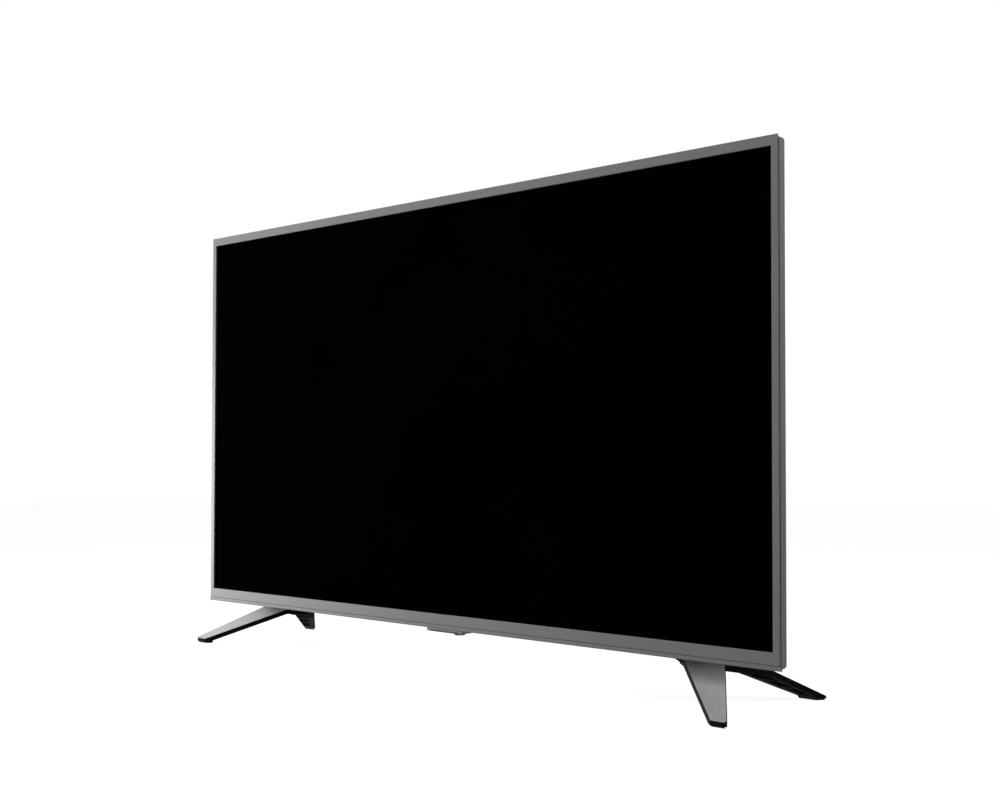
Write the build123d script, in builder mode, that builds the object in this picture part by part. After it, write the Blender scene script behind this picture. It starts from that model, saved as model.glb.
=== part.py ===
from build123d import *
from math import radians, tan
import os

os.makedirs("parts", exist_ok=True)

# A 43-inch class television on two chevron feet. +X is the viewer's right, the screen faces -Y,
# the floor is Z 0, and Y 0 is halfway between the front and rear toes.
frame_width = 976.0
frame_height = 572.0
set_depth = 81.0
floor_gap = 57.5
apex_setback = 67.0
front_reach = 118.5
rear_reach = 108.5
apex_back = (front_reach - rear_reach) / 2
cut_over = 1.0
seat_gap = 0.1


def at_depth(depth):
    """Y of a plane this far behind the frame's face."""
    return depth - apex_setback + apex_back


def at_height(height):
    """Z of a level this far above the frame's underside."""
    return height + floor_gap


def facing(depth, height=0):
    """Sketch plane parallel to the screen, drawn across and up; a negative extrusion runs backwards."""
    return Plane(origin=(0, at_depth(depth), at_height(height)), x_dir=(1, 0, 0), z_dir=(0, -1, 0))


def level(height):
    """Sketch plane parallel to the floor, drawn across and back."""
    return Plane(origin=(0, at_depth(0), at_height(height)))


def slab(across, depth, height, width, thick, tall, mode=Mode.ADD):
    """Box centred across, with its front at depth and its underside at height."""
    with Locations((across, at_depth(depth), at_height(height))):
        Box(width, thick, tall, align=(Align.CENTER, Align.MIN, Align.MIN), mode=mode)


def rods(places, depth, radius, length, mode=Mode.ADD):
    """Round bars or bores that run straight back from depth; places are across and up."""
    with BuildSketch(facing(depth)) as discs:
        with Locations(*places):
            Circle(radius)
    extrude(discs.sketch, amount=-length, mode=mode)


def blocks(places, depth, width, tall, length, mode=Mode.ADD):
    """Square bars or slots that run straight back from depth; places are across and mid height."""
    with BuildSketch(facing(depth)) as faces:
        with Locations(*places):
            Rectangle(width, tall)
    extrude(faces.sketch, amount=-length, mode=mode)


def upright_slots(places, height, width, thick, length):
    """Square slots cut straight up from height; places are across and mid depth."""
    with BuildSketch(level(height)) as faces:
        with Locations(*places):
            Rectangle(width, thick)
    extrude(faces.sketch, amount=length, mode=Mode.SUBTRACT)


def uprights(places, height, radius, length, mode=Mode.ADD):
    """Round bars or bores that run straight up from height; places are across and back."""
    with BuildSketch(level(height)) as discs:
        with Locations(*places):
            Circle(radius)
    extrude(discs.sketch, amount=length, mode=mode)


# Front bezel: one thin plastic frame, flat on its face, with a lip that reaches back to the glass
bezel_side = 8.0
bezel_top = 11.6
bezel_bottom = 19.2
bezel_thick = 1.6
bezel_edge = 0.5
opening_edge = 0.4
glass_setback = 3.6
lip_thick = 1.6
rebate_thick = 1.2
rebate_lap = 2.6
rebate_end_gap = 2.5

# Bottom trim: a separate strip along the lower edge that wraps round both corners
trim_height = 5.0
trim_gap = 0.25
trim_proud = 0.8
trim_thick = 1.6
trim_floor = 0.9
trim_wrap = 4.1
trim_wall = 1.9
trim_bevel = 0.9

opening_width = frame_width - 2 * bezel_side
opening_height = frame_height - bezel_top - bezel_bottom
opening_mid = bezel_bottom + opening_height / 2
plate_low = trim_height + trim_gap
plate_tall = frame_height - plate_low
rebate_low = trim_floor + seat_gap
rebate_width = frame_width - 2 * rebate_end_gap

with BuildPart() as front_bezel:
    with BuildSketch(facing(0, plate_low + plate_tall / 2)):
        Rectangle(frame_width, plate_tall)
    extrude(amount=-bezel_thick)
    chamfer(front_bezel.faces().sort_by(Axis.Y)[0].edges(), bezel_edge)
    slab(0, bezel_thick, rebate_low, rebate_width, rebate_thick, plate_low + rebate_lap - rebate_low)
    with BuildSketch(facing(0, opening_mid)):
        Rectangle(opening_width + 2 * lip_thick, opening_height + 2 * lip_thick)
    extrude(amount=-glass_setback)
    with BuildSketch(facing(-cut_over, opening_mid)):
        Rectangle(opening_width, opening_height)
    extrude(amount=-(glass_setback + 2 * cut_over), mode=Mode.SUBTRACT)
    chamfer(front_bezel.faces().sort_by(Axis.Y)[0].inner_wires()[0].edges(), opening_edge)
front_bezel.part.label = "front_bezel"
export_step(front_bezel.part, "parts/front_bezel.step")

trim_width = frame_width + 2 * trim_proud
with BuildPart() as bottom_trim:
    slab(0, 0, 0, trim_width, trim_wrap, trim_height)
    front_low_edge = bottom_trim.edges().filter_by(Axis.X).group_by(Axis.Z)[0].sort_by(Axis.Y)[0]
    chamfer(front_low_edge, trim_bevel)
    slab(0, trim_thick, trim_floor, trim_width - 2 * trim_wall, trim_wrap, trim_height, Mode.SUBTRACT)
bottom_trim.part.label = "bottom_trim"
export_step(bottom_trim.part, "parts/bottom_trim.step")

# LCD cell: two glasses with their polarisers; the rear glass is longer at the bottom
cell_side_inset = 5.0
cell_end_inset = 11.0
mask_side = 9.4
mask_end = 5.9
cell_width = frame_width - 2 * cell_side_inset
cell_height = frame_height - 2 * cell_end_inset
cell_thick = 1.2
rear_glass_thick = 0.6
bond_step = 3.0
active_width = opening_width - 2 * mask_side
active_height = opening_height - 2 * mask_end
cell_low = opening_mid - cell_height / 2
with BuildPart() as lcd_cell:
    slab(0, glass_setback, cell_low + bond_step, cell_width, cell_thick, cell_height - bond_step)
    slab(0, glass_setback + cell_thick - rear_glass_thick, cell_low, cell_width, rear_glass_thick, bond_step)
lcd_cell.part.label = "lcd_cell"
export_step(lcd_cell.part, "parts/lcd_cell.step")

# Source boards: two long narrow boards behind the lower edge, driven through folded films
source_board_gap = 72.0
source_board_end = 80.0
source_board_width = (frame_width - source_board_gap) / 2 - source_board_end
source_board_mid = (source_board_gap + source_board_width) / 2
source_board_low = 6.2
source_board_tall = 9.0
source_board_depth = 10.6
board_thick = 1.4
ribbon_across = 50.0
ribbon_width = 24.0
ribbon_plug_thick = 1.4
ribbon_plug_tall = 4.0
ribbon_plug_rise = 1.0
ribbon_plug_length = 8.0
source_places = [side * source_board_mid for side in (-1, 1)]
ribbon_places = [side * ribbon_across for side in (-1, 1)]
source_board_back = source_board_depth + board_thick
with BuildPart() as source_boards:
    for across in source_places:
        slab(across, source_board_depth, source_board_low, source_board_width, board_thick,
             source_board_tall)
    for across in ribbon_places:
        slab(across, source_board_back, source_board_low + ribbon_plug_rise, ribbon_width,
             ribbon_plug_thick, ribbon_plug_tall)
source_boards.part.label = "source_boards"
export_step(source_boards.part, "parts/source_boards.step")

# Driver films: eight thin films folded from the rear glass back to the source boards
film_width = 36.0
film_margin = 6.0
films_per_board = 4
film_pitch = (source_board_width - 2 * film_margin) / films_per_board
film_thick = 0.2
film_fold = 0.8
film_level = 9.1
film_depth = glass_setback + cell_thick - rear_glass_thick / 2
film_steps = [(i - (films_per_board - 1) / 2) * film_pitch for i in range(films_per_board)]
film_places = [mid + step for mid in source_places for step in film_steps]
with BuildPart() as driver_films:
    for across in film_places:
        with BuildSketch(Plane.YZ.offset(across - film_width / 2)):
            with BuildLine():
                FilletPolyline(
                    (at_depth(film_depth), at_height(cell_low)),
                    (at_depth(film_depth), at_height(film_level)),
                    (at_depth(source_board_depth), at_height(film_level)),
                    radius=film_fold,
                )
            trace(line_width=film_thick)
        extrude(amount=film_width)
driver_films.part.label = "driver_films"
export_step(driver_films.part, "parts/driver_films.step")

# Mid frame: black moulding behind the bezel that carries the cell on a ledge and shows in the side groove
mid_inset = 2.8
mid_wall = 1.6
mid_rear = 14.0
band_corner = 5.0
ledge_thick = 1.4
ledge_reveal = 0.9
film_slot_gap = 0.6
mid_inner_width = frame_width - 2 * (mid_inset + mid_wall)
mid_inner_height = frame_height - 2 * (mid_inset + mid_wall)
ledge_front = glass_setback + cell_thick
with BuildPart() as mid_frame:
    with BuildSketch(facing(bezel_thick, frame_height / 2)):
        RectangleRounded(frame_width - 2 * mid_inset, frame_height - 2 * mid_inset, band_corner)
        Rectangle(mid_inner_width, mid_inner_height, mode=Mode.SUBTRACT)
    extrude(amount=-(mid_rear - bezel_thick))
    with BuildSketch(facing(ledge_front, frame_height / 2)):
        Rectangle(mid_inner_width, mid_inner_height)
        with Locations((0, opening_mid - frame_height / 2)):
            Rectangle(active_width + 2 * ledge_reveal, active_height + 2 * ledge_reveal, mode=Mode.SUBTRACT)
    extrude(amount=-ledge_thick)
    slab(0, bezel_thick - cut_over, 0, rebate_width + 2 * seat_gap, rebate_thick + seat_gap + cut_over,
         plate_low + rebate_lap + seat_gap, Mode.SUBTRACT)
    for across in film_places:
        slab(across, ledge_front - cut_over, film_level - film_slot_gap, film_width + 2 * film_slot_gap,
             ledge_thick + 2 * cut_over, 2 * film_slot_gap, Mode.SUBTRACT)
mid_frame.part.label = "mid_frame"
export_step(mid_frame.part, "parts/mid_frame.step")

# Optical stack: prism sheet, diffuser sheet and stiff diffuser plate behind the ledge
optic_side_inset = 13.0
optic_end_inset = 16.0
optic_width = frame_width - 2 * optic_side_inset
optic_height = frame_height - 2 * optic_end_inset
prism_thick = 0.4
diffuser_sheet_thick = 0.3
diffuser_plate_thick = 2.0
optic_low = opening_mid - optic_height / 2
prism_depth = ledge_front + ledge_thick
sheet_depth = prism_depth + prism_thick
plate_depth = sheet_depth + diffuser_sheet_thick
pan_front = plate_depth + diffuser_plate_thick

with BuildPart() as prism_sheet:
    slab(0, prism_depth, optic_low, optic_width, prism_thick, optic_height)
prism_sheet.part.label = "prism_sheet"
export_step(prism_sheet.part, "parts/prism_sheet.step")

with BuildPart() as diffuser_sheet:
    slab(0, sheet_depth, optic_low, optic_width, diffuser_sheet_thick, optic_height)
diffuser_sheet.part.label = "diffuser_sheet"
export_step(diffuser_sheet.part, "parts/diffuser_sheet.step")

with BuildPart() as diffuser_plate:
    slab(0, plate_depth, optic_low, optic_width, diffuser_plate_thick, optic_height)
diffuser_plate.part.label = "diffuser_plate"
export_step(diffuser_plate.part, "parts/diffuser_plate.step")

# Chassis pan: pressed steel tray with a flange, sloped sides, a flat floor and bosses for the boards
pan_thick = 0.8
pan_inset = 10.0
flange_side = 6.0
flange_end = 10.0
pan_wall_run = 38.0
pan_width = frame_width - 2 * pan_inset
pan_height = frame_height - 2 * pan_inset
pan_rim_width = pan_width - 2 * flange_side
pan_rim_height = pan_height - 2 * flange_end
pan_floor_width = pan_rim_width - 2 * pan_wall_run
pan_floor_height = pan_rim_height - 2 * pan_wall_run
pan_back = 30.8
boss_radius = 4.0
boss_length = 6.2
screw_radius = 1.45
screw_bore = 1.5
screw_slip = 1.75

# Bulge of the rear cover: the deep lower box that holds the boards
bulge_front = 22.0
bulge_bottom = 6.0
bulge_side_inset = 73.0
bulge_top_inset = 176.0
bulge_side_taper = 17.0
bulge_top_taper = 24.0
bulge_corner = 9.0
bulge_edge = 4.0
bulge_base_width = frame_width - 2 * bulge_side_inset
bulge_base_top = frame_height - bulge_top_inset
bulge_back_width = bulge_base_width - 2 * bulge_side_taper
bulge_back_top = bulge_base_top - bulge_top_taper

# Bays that the sockets open into, placed from the bulge's ends
side_bay_reach = 74.0
side_bay_low = 120.0
side_bay_tall = 116.0
side_bay_wall_across = side_bay_reach - bulge_base_width / 2
rear_bay_offset = 96.0
rear_bay_low = 68.0
rear_bay_width = 156.0
rear_bay_tall = 34.0
rear_bay_depth = 52.0
rear_bay_across = side_bay_wall_across + rear_bay_offset
inlet_bay_inset = 193.0
inlet_bay_low = 78.0
inlet_bay_width = 46.0
inlet_bay_tall = 34.0
inlet_bay_depth = 58.0
inlet_bay_across = bulge_base_width / 2 - inlet_bay_inset

# Boards: sizes and places of the three that the bosses carry
main_board_width = 186.6
main_board_tall = 200.0
main_board_margin = 4.4
main_board_across = side_bay_wall_across + main_board_margin + main_board_width / 2
main_board_low = 62.0
power_board_width = 196.0
power_board_tall = 188.0
power_board_across = inlet_bay_across
power_board_low = 70.0
timing_board_width = 150.0
timing_board_tall = 62.0
timing_board_low = 66.0
board_hole_inset = 6.0
wireless_width = 44.0
wireless_tall = 24.0
wireless_low = 150.0
wireless_hole_across = 13.0

# Rear cover and its screws
cover_gap = 0.4
cover_wall = 2.2
band_front = 4.4
band_rear = 16.4
shoulder_inset = 2.5
shoulder_depth = 18.9
slope_inset = 55.0
slope_corner = 14.0
thin_depth = 36.0
cover_screw_inset = 64.0
cover_screw_low = 80.0
cover_screw_high_inset = 72.0
cover_screw_step = 210.0
cover_screw_across = frame_width / 2 - cover_screw_inset
cover_screw_top = frame_height - cover_screw_inset
cover_screw_high = frame_height - cover_screw_high_inset
cover_screw_heights = (cover_screw_low, (cover_screw_low + cover_screw_high) / 2, cover_screw_high)
cover_screw_radius = 1.5
cover_screw_bore = 1.55
cover_screw_slip = 1.9
cover_screw_head = 3.6
cover_screw_head_thick = 1.8
cover_screw_grip = 1.6
cover_boss_radius = 4.2
cover_screw_places = [(side * cover_screw_across, height) for side in (-1, 1)
                      for height in cover_screw_heights]
cover_screw_places += [(step * cover_screw_step, cover_screw_top) for step in (-1, 0, 1)]


def corner_holes(across, low, width, tall):
    """Places of the four screws near a board's corners."""
    half_width = width / 2 - board_hole_inset
    return [(across + side * half_width, low + height)
            for side in (-1, 1) for height in (board_hole_inset, tall - board_hole_inset)]


main_holes = corner_holes(main_board_across, main_board_low, main_board_width, main_board_tall)
power_holes = corner_holes(power_board_across, power_board_low, power_board_width, power_board_tall)
timing_holes = corner_holes(0, timing_board_low, timing_board_width, timing_board_tall)
wireless_holes = [(side * wireless_hole_across, wireless_low + wireless_tall / 2) for side in (-1, 1)]
board_holes = main_holes + power_holes + timing_holes + wireless_holes
board_depth = pan_back + boss_length
board_back = board_depth + board_thick


def tray(front, back, rim_width, rim_height, floor_width, floor_height, mode=Mode.ADD):
    """Frustum from a rim at front to a floor at back, both centred on the picture."""
    with BuildSketch(facing(front, opening_mid)) as rim:
        Rectangle(rim_width, rim_height)
    with BuildSketch(facing(back, opening_mid)) as floor:
        Rectangle(floor_width, floor_height)
    loft([rim.sketch, floor.sketch], ruled=True, mode=mode)


# Light bars: four aluminium-backed strips on the pan's floor, fed by a plug that comes out through a slot
light_bar_count = 4
light_bar_margin = 2.0
light_bar_end = 34.0
light_bar_pitch = (pan_floor_height - 2 * light_bar_margin) / light_bar_count
light_bar_length = pan_floor_width - 2 * light_bar_end
light_bar_tall = 16.0
light_bar_thick = 1.2
light_plug_across = 106.0
light_plug_width = 6.0
light_plug_tall = 14.0
light_plug_length = 4.0
light_slot_gap = 1.0
light_bar_depth = pan_back - pan_thick - light_bar_thick
light_bar_mids = [opening_mid + (i - (light_bar_count - 1) / 2) * light_bar_pitch
                  for i in range(light_bar_count)]
light_plug_place = (light_plug_across, light_bar_mids[1])
with BuildPart() as chassis_pan:
    slab(0, pan_front, opening_mid - pan_height / 2, pan_width, pan_thick, pan_height)
    tray(pan_front + pan_thick, pan_back, pan_rim_width, pan_rim_height, pan_floor_width, pan_floor_height)
    tray(pan_front, pan_back - pan_thick, pan_rim_width, pan_rim_height, pan_floor_width, pan_floor_height,
         Mode.SUBTRACT)
    rods(board_holes, pan_back, boss_radius, boss_length)
    rods(board_holes, pan_back - pan_thick - cut_over, screw_bore, pan_thick + boss_length + 2 * cut_over,
         Mode.SUBTRACT)
    rods(cover_screw_places, pan_back - pan_thick - cut_over, cover_screw_bore, pan_thick + 2 * cut_over,
         Mode.SUBTRACT)
    blocks([light_plug_place], pan_back - pan_thick - cut_over, light_plug_width + 2 * light_slot_gap,
           light_plug_tall + 2 * light_slot_gap, pan_thick + 2 * cut_over, Mode.SUBTRACT)
chassis_pan.part.label = "chassis_pan"
export_step(chassis_pan.part, "parts/chassis_pan.step")

# Lenses: eight over the diodes of each bar
lenses_per_bar = 8
lens_pitch_share = 0.13
lens_pitch = light_bar_length * lens_pitch_share
lens_radius = 7.5
lens_length = 5.0
lens_round = 2.6
lens_dimple_radius = 2.2
lens_dimple_depth = 1.4
lens_steps = [(i - (lenses_per_bar - 1) / 2) * lens_pitch for i in range(lenses_per_bar)]
lens_places = [(step, mid) for mid in light_bar_mids for step in lens_steps]
with BuildPart() as led_bars:
    blocks([(0, mid) for mid in light_bar_mids], light_bar_depth, light_bar_length, light_bar_tall,
           light_bar_thick)
    blocks([light_plug_place], light_bar_depth + light_bar_thick, light_plug_width, light_plug_tall,
           light_plug_length)
led_bars.part.label = "led_bars"
export_step(led_bars.part, "parts/led_bars.step")

with BuildPart() as led_lenses:
    rods(lens_places, light_bar_depth - lens_length, lens_radius, lens_length)
    fillet(led_lenses.edges().filter_by(GeomType.CIRCLE).group_by(Axis.Y)[0], lens_round)
    rods(lens_places, light_bar_depth - lens_length - cut_over, lens_dimple_radius,
         lens_dimple_depth + cut_over, Mode.SUBTRACT)
led_lenses.part.label = "led_lenses"
export_step(led_lenses.part, "parts/led_lenses.step")

# Reflector sheet: white film tray over the light bars, with a hole for each lens
reflector_thick = 0.4
reflector_clear = 0.2
reflector_rim_inset = 2.0
reflector_floor_inset = 1.0
reflector_hole_gap = 0.8
reflector_back = light_bar_depth - reflector_clear
reflector_rim = (pan_rim_width - 2 * reflector_rim_inset, pan_rim_height - 2 * reflector_rim_inset)
reflector_floor = (pan_floor_width - 2 * reflector_floor_inset, pan_floor_height - 2 * reflector_floor_inset)
with BuildPart() as reflector_sheet:
    tray(pan_front + reflector_thick, reflector_back, *reflector_rim, *reflector_floor)
    tray(pan_front, reflector_back - reflector_thick, *reflector_rim, *reflector_floor, Mode.SUBTRACT)
    rods(lens_places, reflector_back - reflector_thick - cut_over, lens_radius + reflector_hole_gap,
         reflector_thick + 2 * cut_over, Mode.SUBTRACT)
    # the sheet ends just behind the flange's front, so that the diffuser plate closes the box
    slab(0, pan_front - cut_over, 0, frame_width, cut_over, frame_height, Mode.SUBTRACT)
reflector_sheet.part.label = "reflector_sheet"
export_step(reflector_sheet.part, "parts/reflector_sheet.step")

# Wall mount posts: four riveted steel posts with M6 threads on a 200 mm square
mount_pitch = 200.0
mount_mid = 250.0
mount_bore = 3.0
post_radius = 7.0
post_flange_radius = 12.0
post_flange_thick = 1.5
post_floor = 6.0
post_gap = 1.0
post_setback = 0.5
mount_places = [(a * mount_pitch / 2, mount_mid + b * mount_pitch / 2) for a in (-1, 1) for b in (-1, 1)]
post_end = set_depth - post_setback
with BuildPart() as wall_mount_posts:
    rods(mount_places, pan_back, post_flange_radius, post_flange_thick)
    rods(mount_places, pan_back, post_radius, post_end - pan_back)
    rods(mount_places, pan_back + post_floor, mount_bore, post_end - pan_back - post_floor + cut_over,
         Mode.SUBTRACT)
wall_mount_posts.part.label = "wall_mount_posts"
export_step(wall_mount_posts.part, "parts/wall_mount_posts.step")

# Feet fixings and stand brackets
foot_inset = 125.0
foot_screw_mid = frame_width / 2 - foot_inset
foot_screw_pitch = 22.0
foot_screw_radius = 1.95
foot_screw_bore = 2.0
foot_screw_slip = 2.3
foot_screw_places = [(side * foot_screw_mid + end * foot_screw_pitch / 2, apex_setback)
                     for side in (-1, 1) for end in (-1, 1)]

# Control stick and sensor under the middle of the frame
control_depth = 42.5
control_hole_gap = 0.4
housing_radius = 10.2
light_pipe_width = 8.0
light_pipe_front = 25.0
light_pipe_thick = 4.5
light_pipe_gap = 0.5

# Speakers
speaker_foot_offset = 148.0
speaker_across = foot_screw_mid - speaker_foot_offset
speaker_depth = 34.0
speaker_low = 10.2
speaker_width = 130.0
speaker_thick = 38.0
speaker_tall = 42.8
grille_slots = 14
grille_pitch = 6.0
grille_slot_width = 3.0
grille_slot_length = 30.0

# Vents: rows of slots in the back and in the top of the bulge
vent_slots = 24
vent_pitch = 7.0
vent_slot_width = 3.0
vent_slot_tall = 26.0
vent_mid_share = 0.27108434
vent_top_inset = 79.0
vent_mid = bulge_base_width * vent_mid_share
back_vent_mid = bulge_base_top - vent_top_inset
top_vent_mid = 56.0
top_vent_length = 18.0


def rounded(depth, mid, width, height, corner):
    """Rounded rectangle in a plane parallel to the screen."""
    with BuildSketch(facing(depth, mid)) as face:
        RectangleRounded(width, height, corner)
    return face.sketch


def cover_form(wall, front):
    """Outer form of the rear cover when wall is zero, or the space that such a wall leaves inside."""
    mid = frame_height / 2
    width = frame_width - 2 * (cover_gap + wall)
    height = frame_height - 2 * (cover_gap + wall)
    extrude(rounded(front, mid, width, height, band_corner), amount=-(band_rear - wall - front))
    steps = ((band_rear, 0, band_corner), (shoulder_depth, shoulder_inset, band_corner),
             (thin_depth, slope_inset, slope_corner))
    for pair in zip(steps, steps[1:]):
        loft([rounded(depth - wall, mid, width - 2 * inset, height - 2 * inset, corner)
              for depth, inset, corner in pair], ruled=True)
    bulge = ((bulge_front + wall, bulge_base_width, bulge_base_top),
             (set_depth - wall, bulge_back_width, bulge_back_top))
    loft([rounded(depth, (bulge_bottom + top) / 2, base_width - 2 * wall, top - bulge_bottom - 2 * wall,
                  bulge_corner) for depth, base_width, top in bulge], ruled=True)


def cut_bays(wall):
    """Socket bays, grown by a wall when they are cut from the space inside the cover."""
    for across, low, width, tall, floor in (
            (rear_bay_across, rear_bay_low, rear_bay_width, rear_bay_tall, rear_bay_depth),
            (inlet_bay_across, inlet_bay_low, inlet_bay_width, inlet_bay_tall, inlet_bay_depth)):
        slab(across, floor - wall, low - wall, width + 2 * wall, set_depth, tall + 2 * wall, Mode.SUBTRACT)
    side_width = frame_width / 2 + side_bay_wall_across + 2 * wall
    slab(side_bay_wall_across + wall - side_width / 2, thin_depth - wall, side_bay_low - wall, side_width,
         set_depth, side_bay_tall + 2 * wall, Mode.SUBTRACT)


with BuildPart() as cover_space:
    cover_form(cover_wall, band_front - cut_over)
    cut_bays(cover_wall)

# Windows in the bays, for the terminal plates and the inlet
plate_lap = 5.0
rear_window_width = rear_bay_width - 2 * plate_lap
rear_window_tall = rear_bay_tall - 2 * plate_lap
side_window_low = side_bay_low + plate_lap
side_window_tall = side_bay_tall - 2 * plate_lap
side_window_front = 38.0
side_window_depth = 16.0
inlet_width = 26.0
inlet_tall = 20.0
inlet_gap = 0.4
inlet_low = inlet_bay_low + (inlet_bay_tall - inlet_tall) / 2
vent_steps = [(i - (vent_slots - 1) / 2) * vent_pitch for i in range(vent_slots)]
grille_steps = [(i - (grille_slots - 1) / 2) * grille_pitch for i in range(grille_slots)]

with BuildPart() as rear_cover:
    cover_form(0, band_front)
    fillet(rear_cover.faces().sort_by(Axis.Y)[-1].edges(), bulge_edge)
    cut_bays(0)
    add(cover_space.part, mode=Mode.SUBTRACT)
    rods(cover_screw_places, pan_back, cover_boss_radius, thin_depth - cover_wall - pan_back)
    rods(cover_screw_places, pan_back - cut_over, cover_screw_slip, thin_depth - pan_back + 2 * cut_over,
         Mode.SUBTRACT)
    rods(mount_places, set_depth - cover_wall - cut_over, post_radius + post_gap, cover_wall + 2 * cut_over,
         Mode.SUBTRACT)
    slab(rear_bay_across, rear_bay_depth - cover_wall - cut_over, rear_bay_low + plate_lap,
         rear_window_width,
         cover_wall + 2 * cut_over, rear_window_tall, Mode.SUBTRACT)
    slab(inlet_bay_across, inlet_bay_depth - cover_wall - cut_over, inlet_low - inlet_gap,
         inlet_width + 2 * inlet_gap, cover_wall + 2 * cut_over, inlet_tall + 2 * inlet_gap, Mode.SUBTRACT)
    slab(side_bay_wall_across + cover_wall / 2, side_window_front, side_window_low,
         cover_wall + 2 * cut_over,
         side_window_depth, side_window_tall, Mode.SUBTRACT)
    uprights([(0, control_depth)], bulge_bottom - cut_over, housing_radius + control_hole_gap,
             cover_wall + 2 * cut_over, Mode.SUBTRACT)
    slab(0, light_pipe_front - light_pipe_gap, bulge_bottom - cut_over,
         light_pipe_width + 2 * light_pipe_gap,
         light_pipe_thick + 2 * light_pipe_gap, cover_wall + 2 * cut_over, Mode.SUBTRACT)
    uprights(foot_screw_places, bulge_bottom - cut_over, foot_screw_slip, cover_wall + 2 * cut_over,
             Mode.SUBTRACT)
    upright_slots([(side * speaker_across + step, speaker_depth + speaker_thick / 2)
                   for side in (-1, 1) for step in grille_steps],
                  bulge_bottom - cut_over, grille_slot_width, grille_slot_length, cover_wall + 2 * cut_over)
    upright_slots([(side * vent_mid + step, top_vent_mid) for side in (-1, 1) for step in vent_steps],
                  bulge_back_top - bulge_corner, vent_slot_width, top_vent_length,
                  bulge_corner + bulge_base_top - bulge_back_top)
    blocks([(side * vent_mid + step, back_vent_mid) for side in (-1, 1) for step in vent_steps],
           set_depth - cover_wall - cut_over, vent_slot_width, vent_slot_tall, cover_wall + 2 * cut_over,
           Mode.SUBTRACT)
rear_cover.part.label = "rear_cover"
export_step(rear_cover.part, "parts/rear_cover.step")

# Cover screws
with BuildPart() as cover_screws:
    rods(cover_screw_places, thin_depth, cover_screw_head, cover_screw_head_thick)
    fillet(cover_screws.edges().filter_by(GeomType.CIRCLE).group_by(Axis.Y)[-1], cover_screw_head_thick / 2)
    rods(cover_screw_places, pan_back - cover_screw_grip, cover_screw_radius,
         thin_depth - pan_back + cover_screw_grip)
cover_screws.part.label = "cover_screws"
export_step(cover_screws.part, "parts/cover_screws.step")

# Board screws
board_screw_head = 3.2
board_screw_head_thick = 1.8
board_screw_tip = 4.5
with BuildPart() as board_screws:
    rods(board_holes, board_back, board_screw_head, board_screw_head_thick)
    rods(board_holes, board_back - board_thick - board_screw_tip, screw_radius,
         board_thick + board_screw_tip)
board_screws.part.label = "board_screws"
export_step(board_screws.part, "parts/board_screws.step")

# Stand brackets: bent steel angles that carry the set's weight from the pan to each foot
bracket_width = 50.0
bracket_thick = 3.0
bracket_rear = 74.0
bracket_top = 104.0
bracket_low = bulge_bottom + cover_wall
with BuildPart() as stand_brackets:
    for side in (-1, 1):
        slab(side * foot_screw_mid, pan_back, bracket_low, bracket_width, bracket_rear - pan_back,
             bracket_thick)
        slab(side * foot_screw_mid, pan_back, bracket_low, bracket_width, bracket_thick,
             bracket_top - bracket_low)
    uprights(foot_screw_places, bracket_low - cut_over, foot_screw_bore, bracket_thick + 2 * cut_over,
             Mode.SUBTRACT)
stand_brackets.part.label = "stand_brackets"
export_step(stand_brackets.part, "parts/stand_brackets.step")

# Main board with its soldered chips and tuner can
chip_shares = ((-0.18, 0.62), (0.1, 0.78), (0.28, 0.42))
chip_size = 14.0
chip_thick = 1.2
processor_size = 27.0
processor_thick = 2.0
processor_place_share = (0.06, 0.55)
tuner_width = 38.0
tuner_tall = 24.0
tuner_thick = 8.0
tuner_offset = 31.7
tuner_low = 102.0
tuner_across = main_board_across - tuner_offset

# Plugs on the boards: across, mid height, width, height and length
plug_inset = 2.0
board_edge_gap = 1.0
ribbon_plug_mid = 100.0
harness_plug = (8.0, 20.0, 9.0)
lead_plug = (8.0, 9.0, 6.0)
audio_plug = (14.0, 6.0, 6.0)
harness_height = 215.0
sensor_plug_height = 186.0
wireless_plug_height = 172.0
feed_plug_height = 240.0
main_board_edge = main_board_across + main_board_width / 2
audio_plug_inset = 22.0
audio_plug_height = 66.0
audio_plug_place = (main_board_edge - audio_plug_inset, audio_plug_height)
power_board_edge = power_board_across - power_board_width / 2


def plug(place, size):
    """Plug housing on a board's rear face; its size is width, height and length."""
    width, tall, length = size
    blocks([place], board_back, width, tall, length)


def on_main(share):
    """Place on the main board by shares of its width from its middle and of its height."""
    return (main_board_across + share[0] * main_board_width, main_board_low + share[1] * main_board_tall)


processor_place = on_main(processor_place_share)
with BuildPart() as main_board:
    slab(main_board_across, board_depth, main_board_low, main_board_width, board_thick, main_board_tall)
    rods(main_holes, board_depth - cut_over, screw_slip, board_thick + 2 * cut_over, Mode.SUBTRACT)
    slab(processor_place[0], board_back, processor_place[1] - processor_size / 2, processor_size,
         processor_thick, processor_size)
    for share in chip_shares:
        across, mid = on_main(share)
        slab(across, board_back, mid - chip_size / 2, chip_size, chip_thick, chip_size)
    slab(tuner_across, board_back, tuner_low, tuner_width, tuner_thick, tuner_tall)
    plug((main_board_edge - plug_inset - harness_plug[0] / 2, harness_height), harness_plug)
    for height in (sensor_plug_height, wireless_plug_height):
        plug((main_board_edge - plug_inset - lead_plug[0] / 2, height), lead_plug)
    plug(audio_plug_place, audio_plug)
    plug((main_board_edge - ribbon_plug_length / 2, ribbon_plug_mid),
         (ribbon_plug_length, ribbon_width, ribbon_plug_thick))
main_board.part.label = "main_board"
export_step(main_board.part, "parts/main_board.step")

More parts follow.
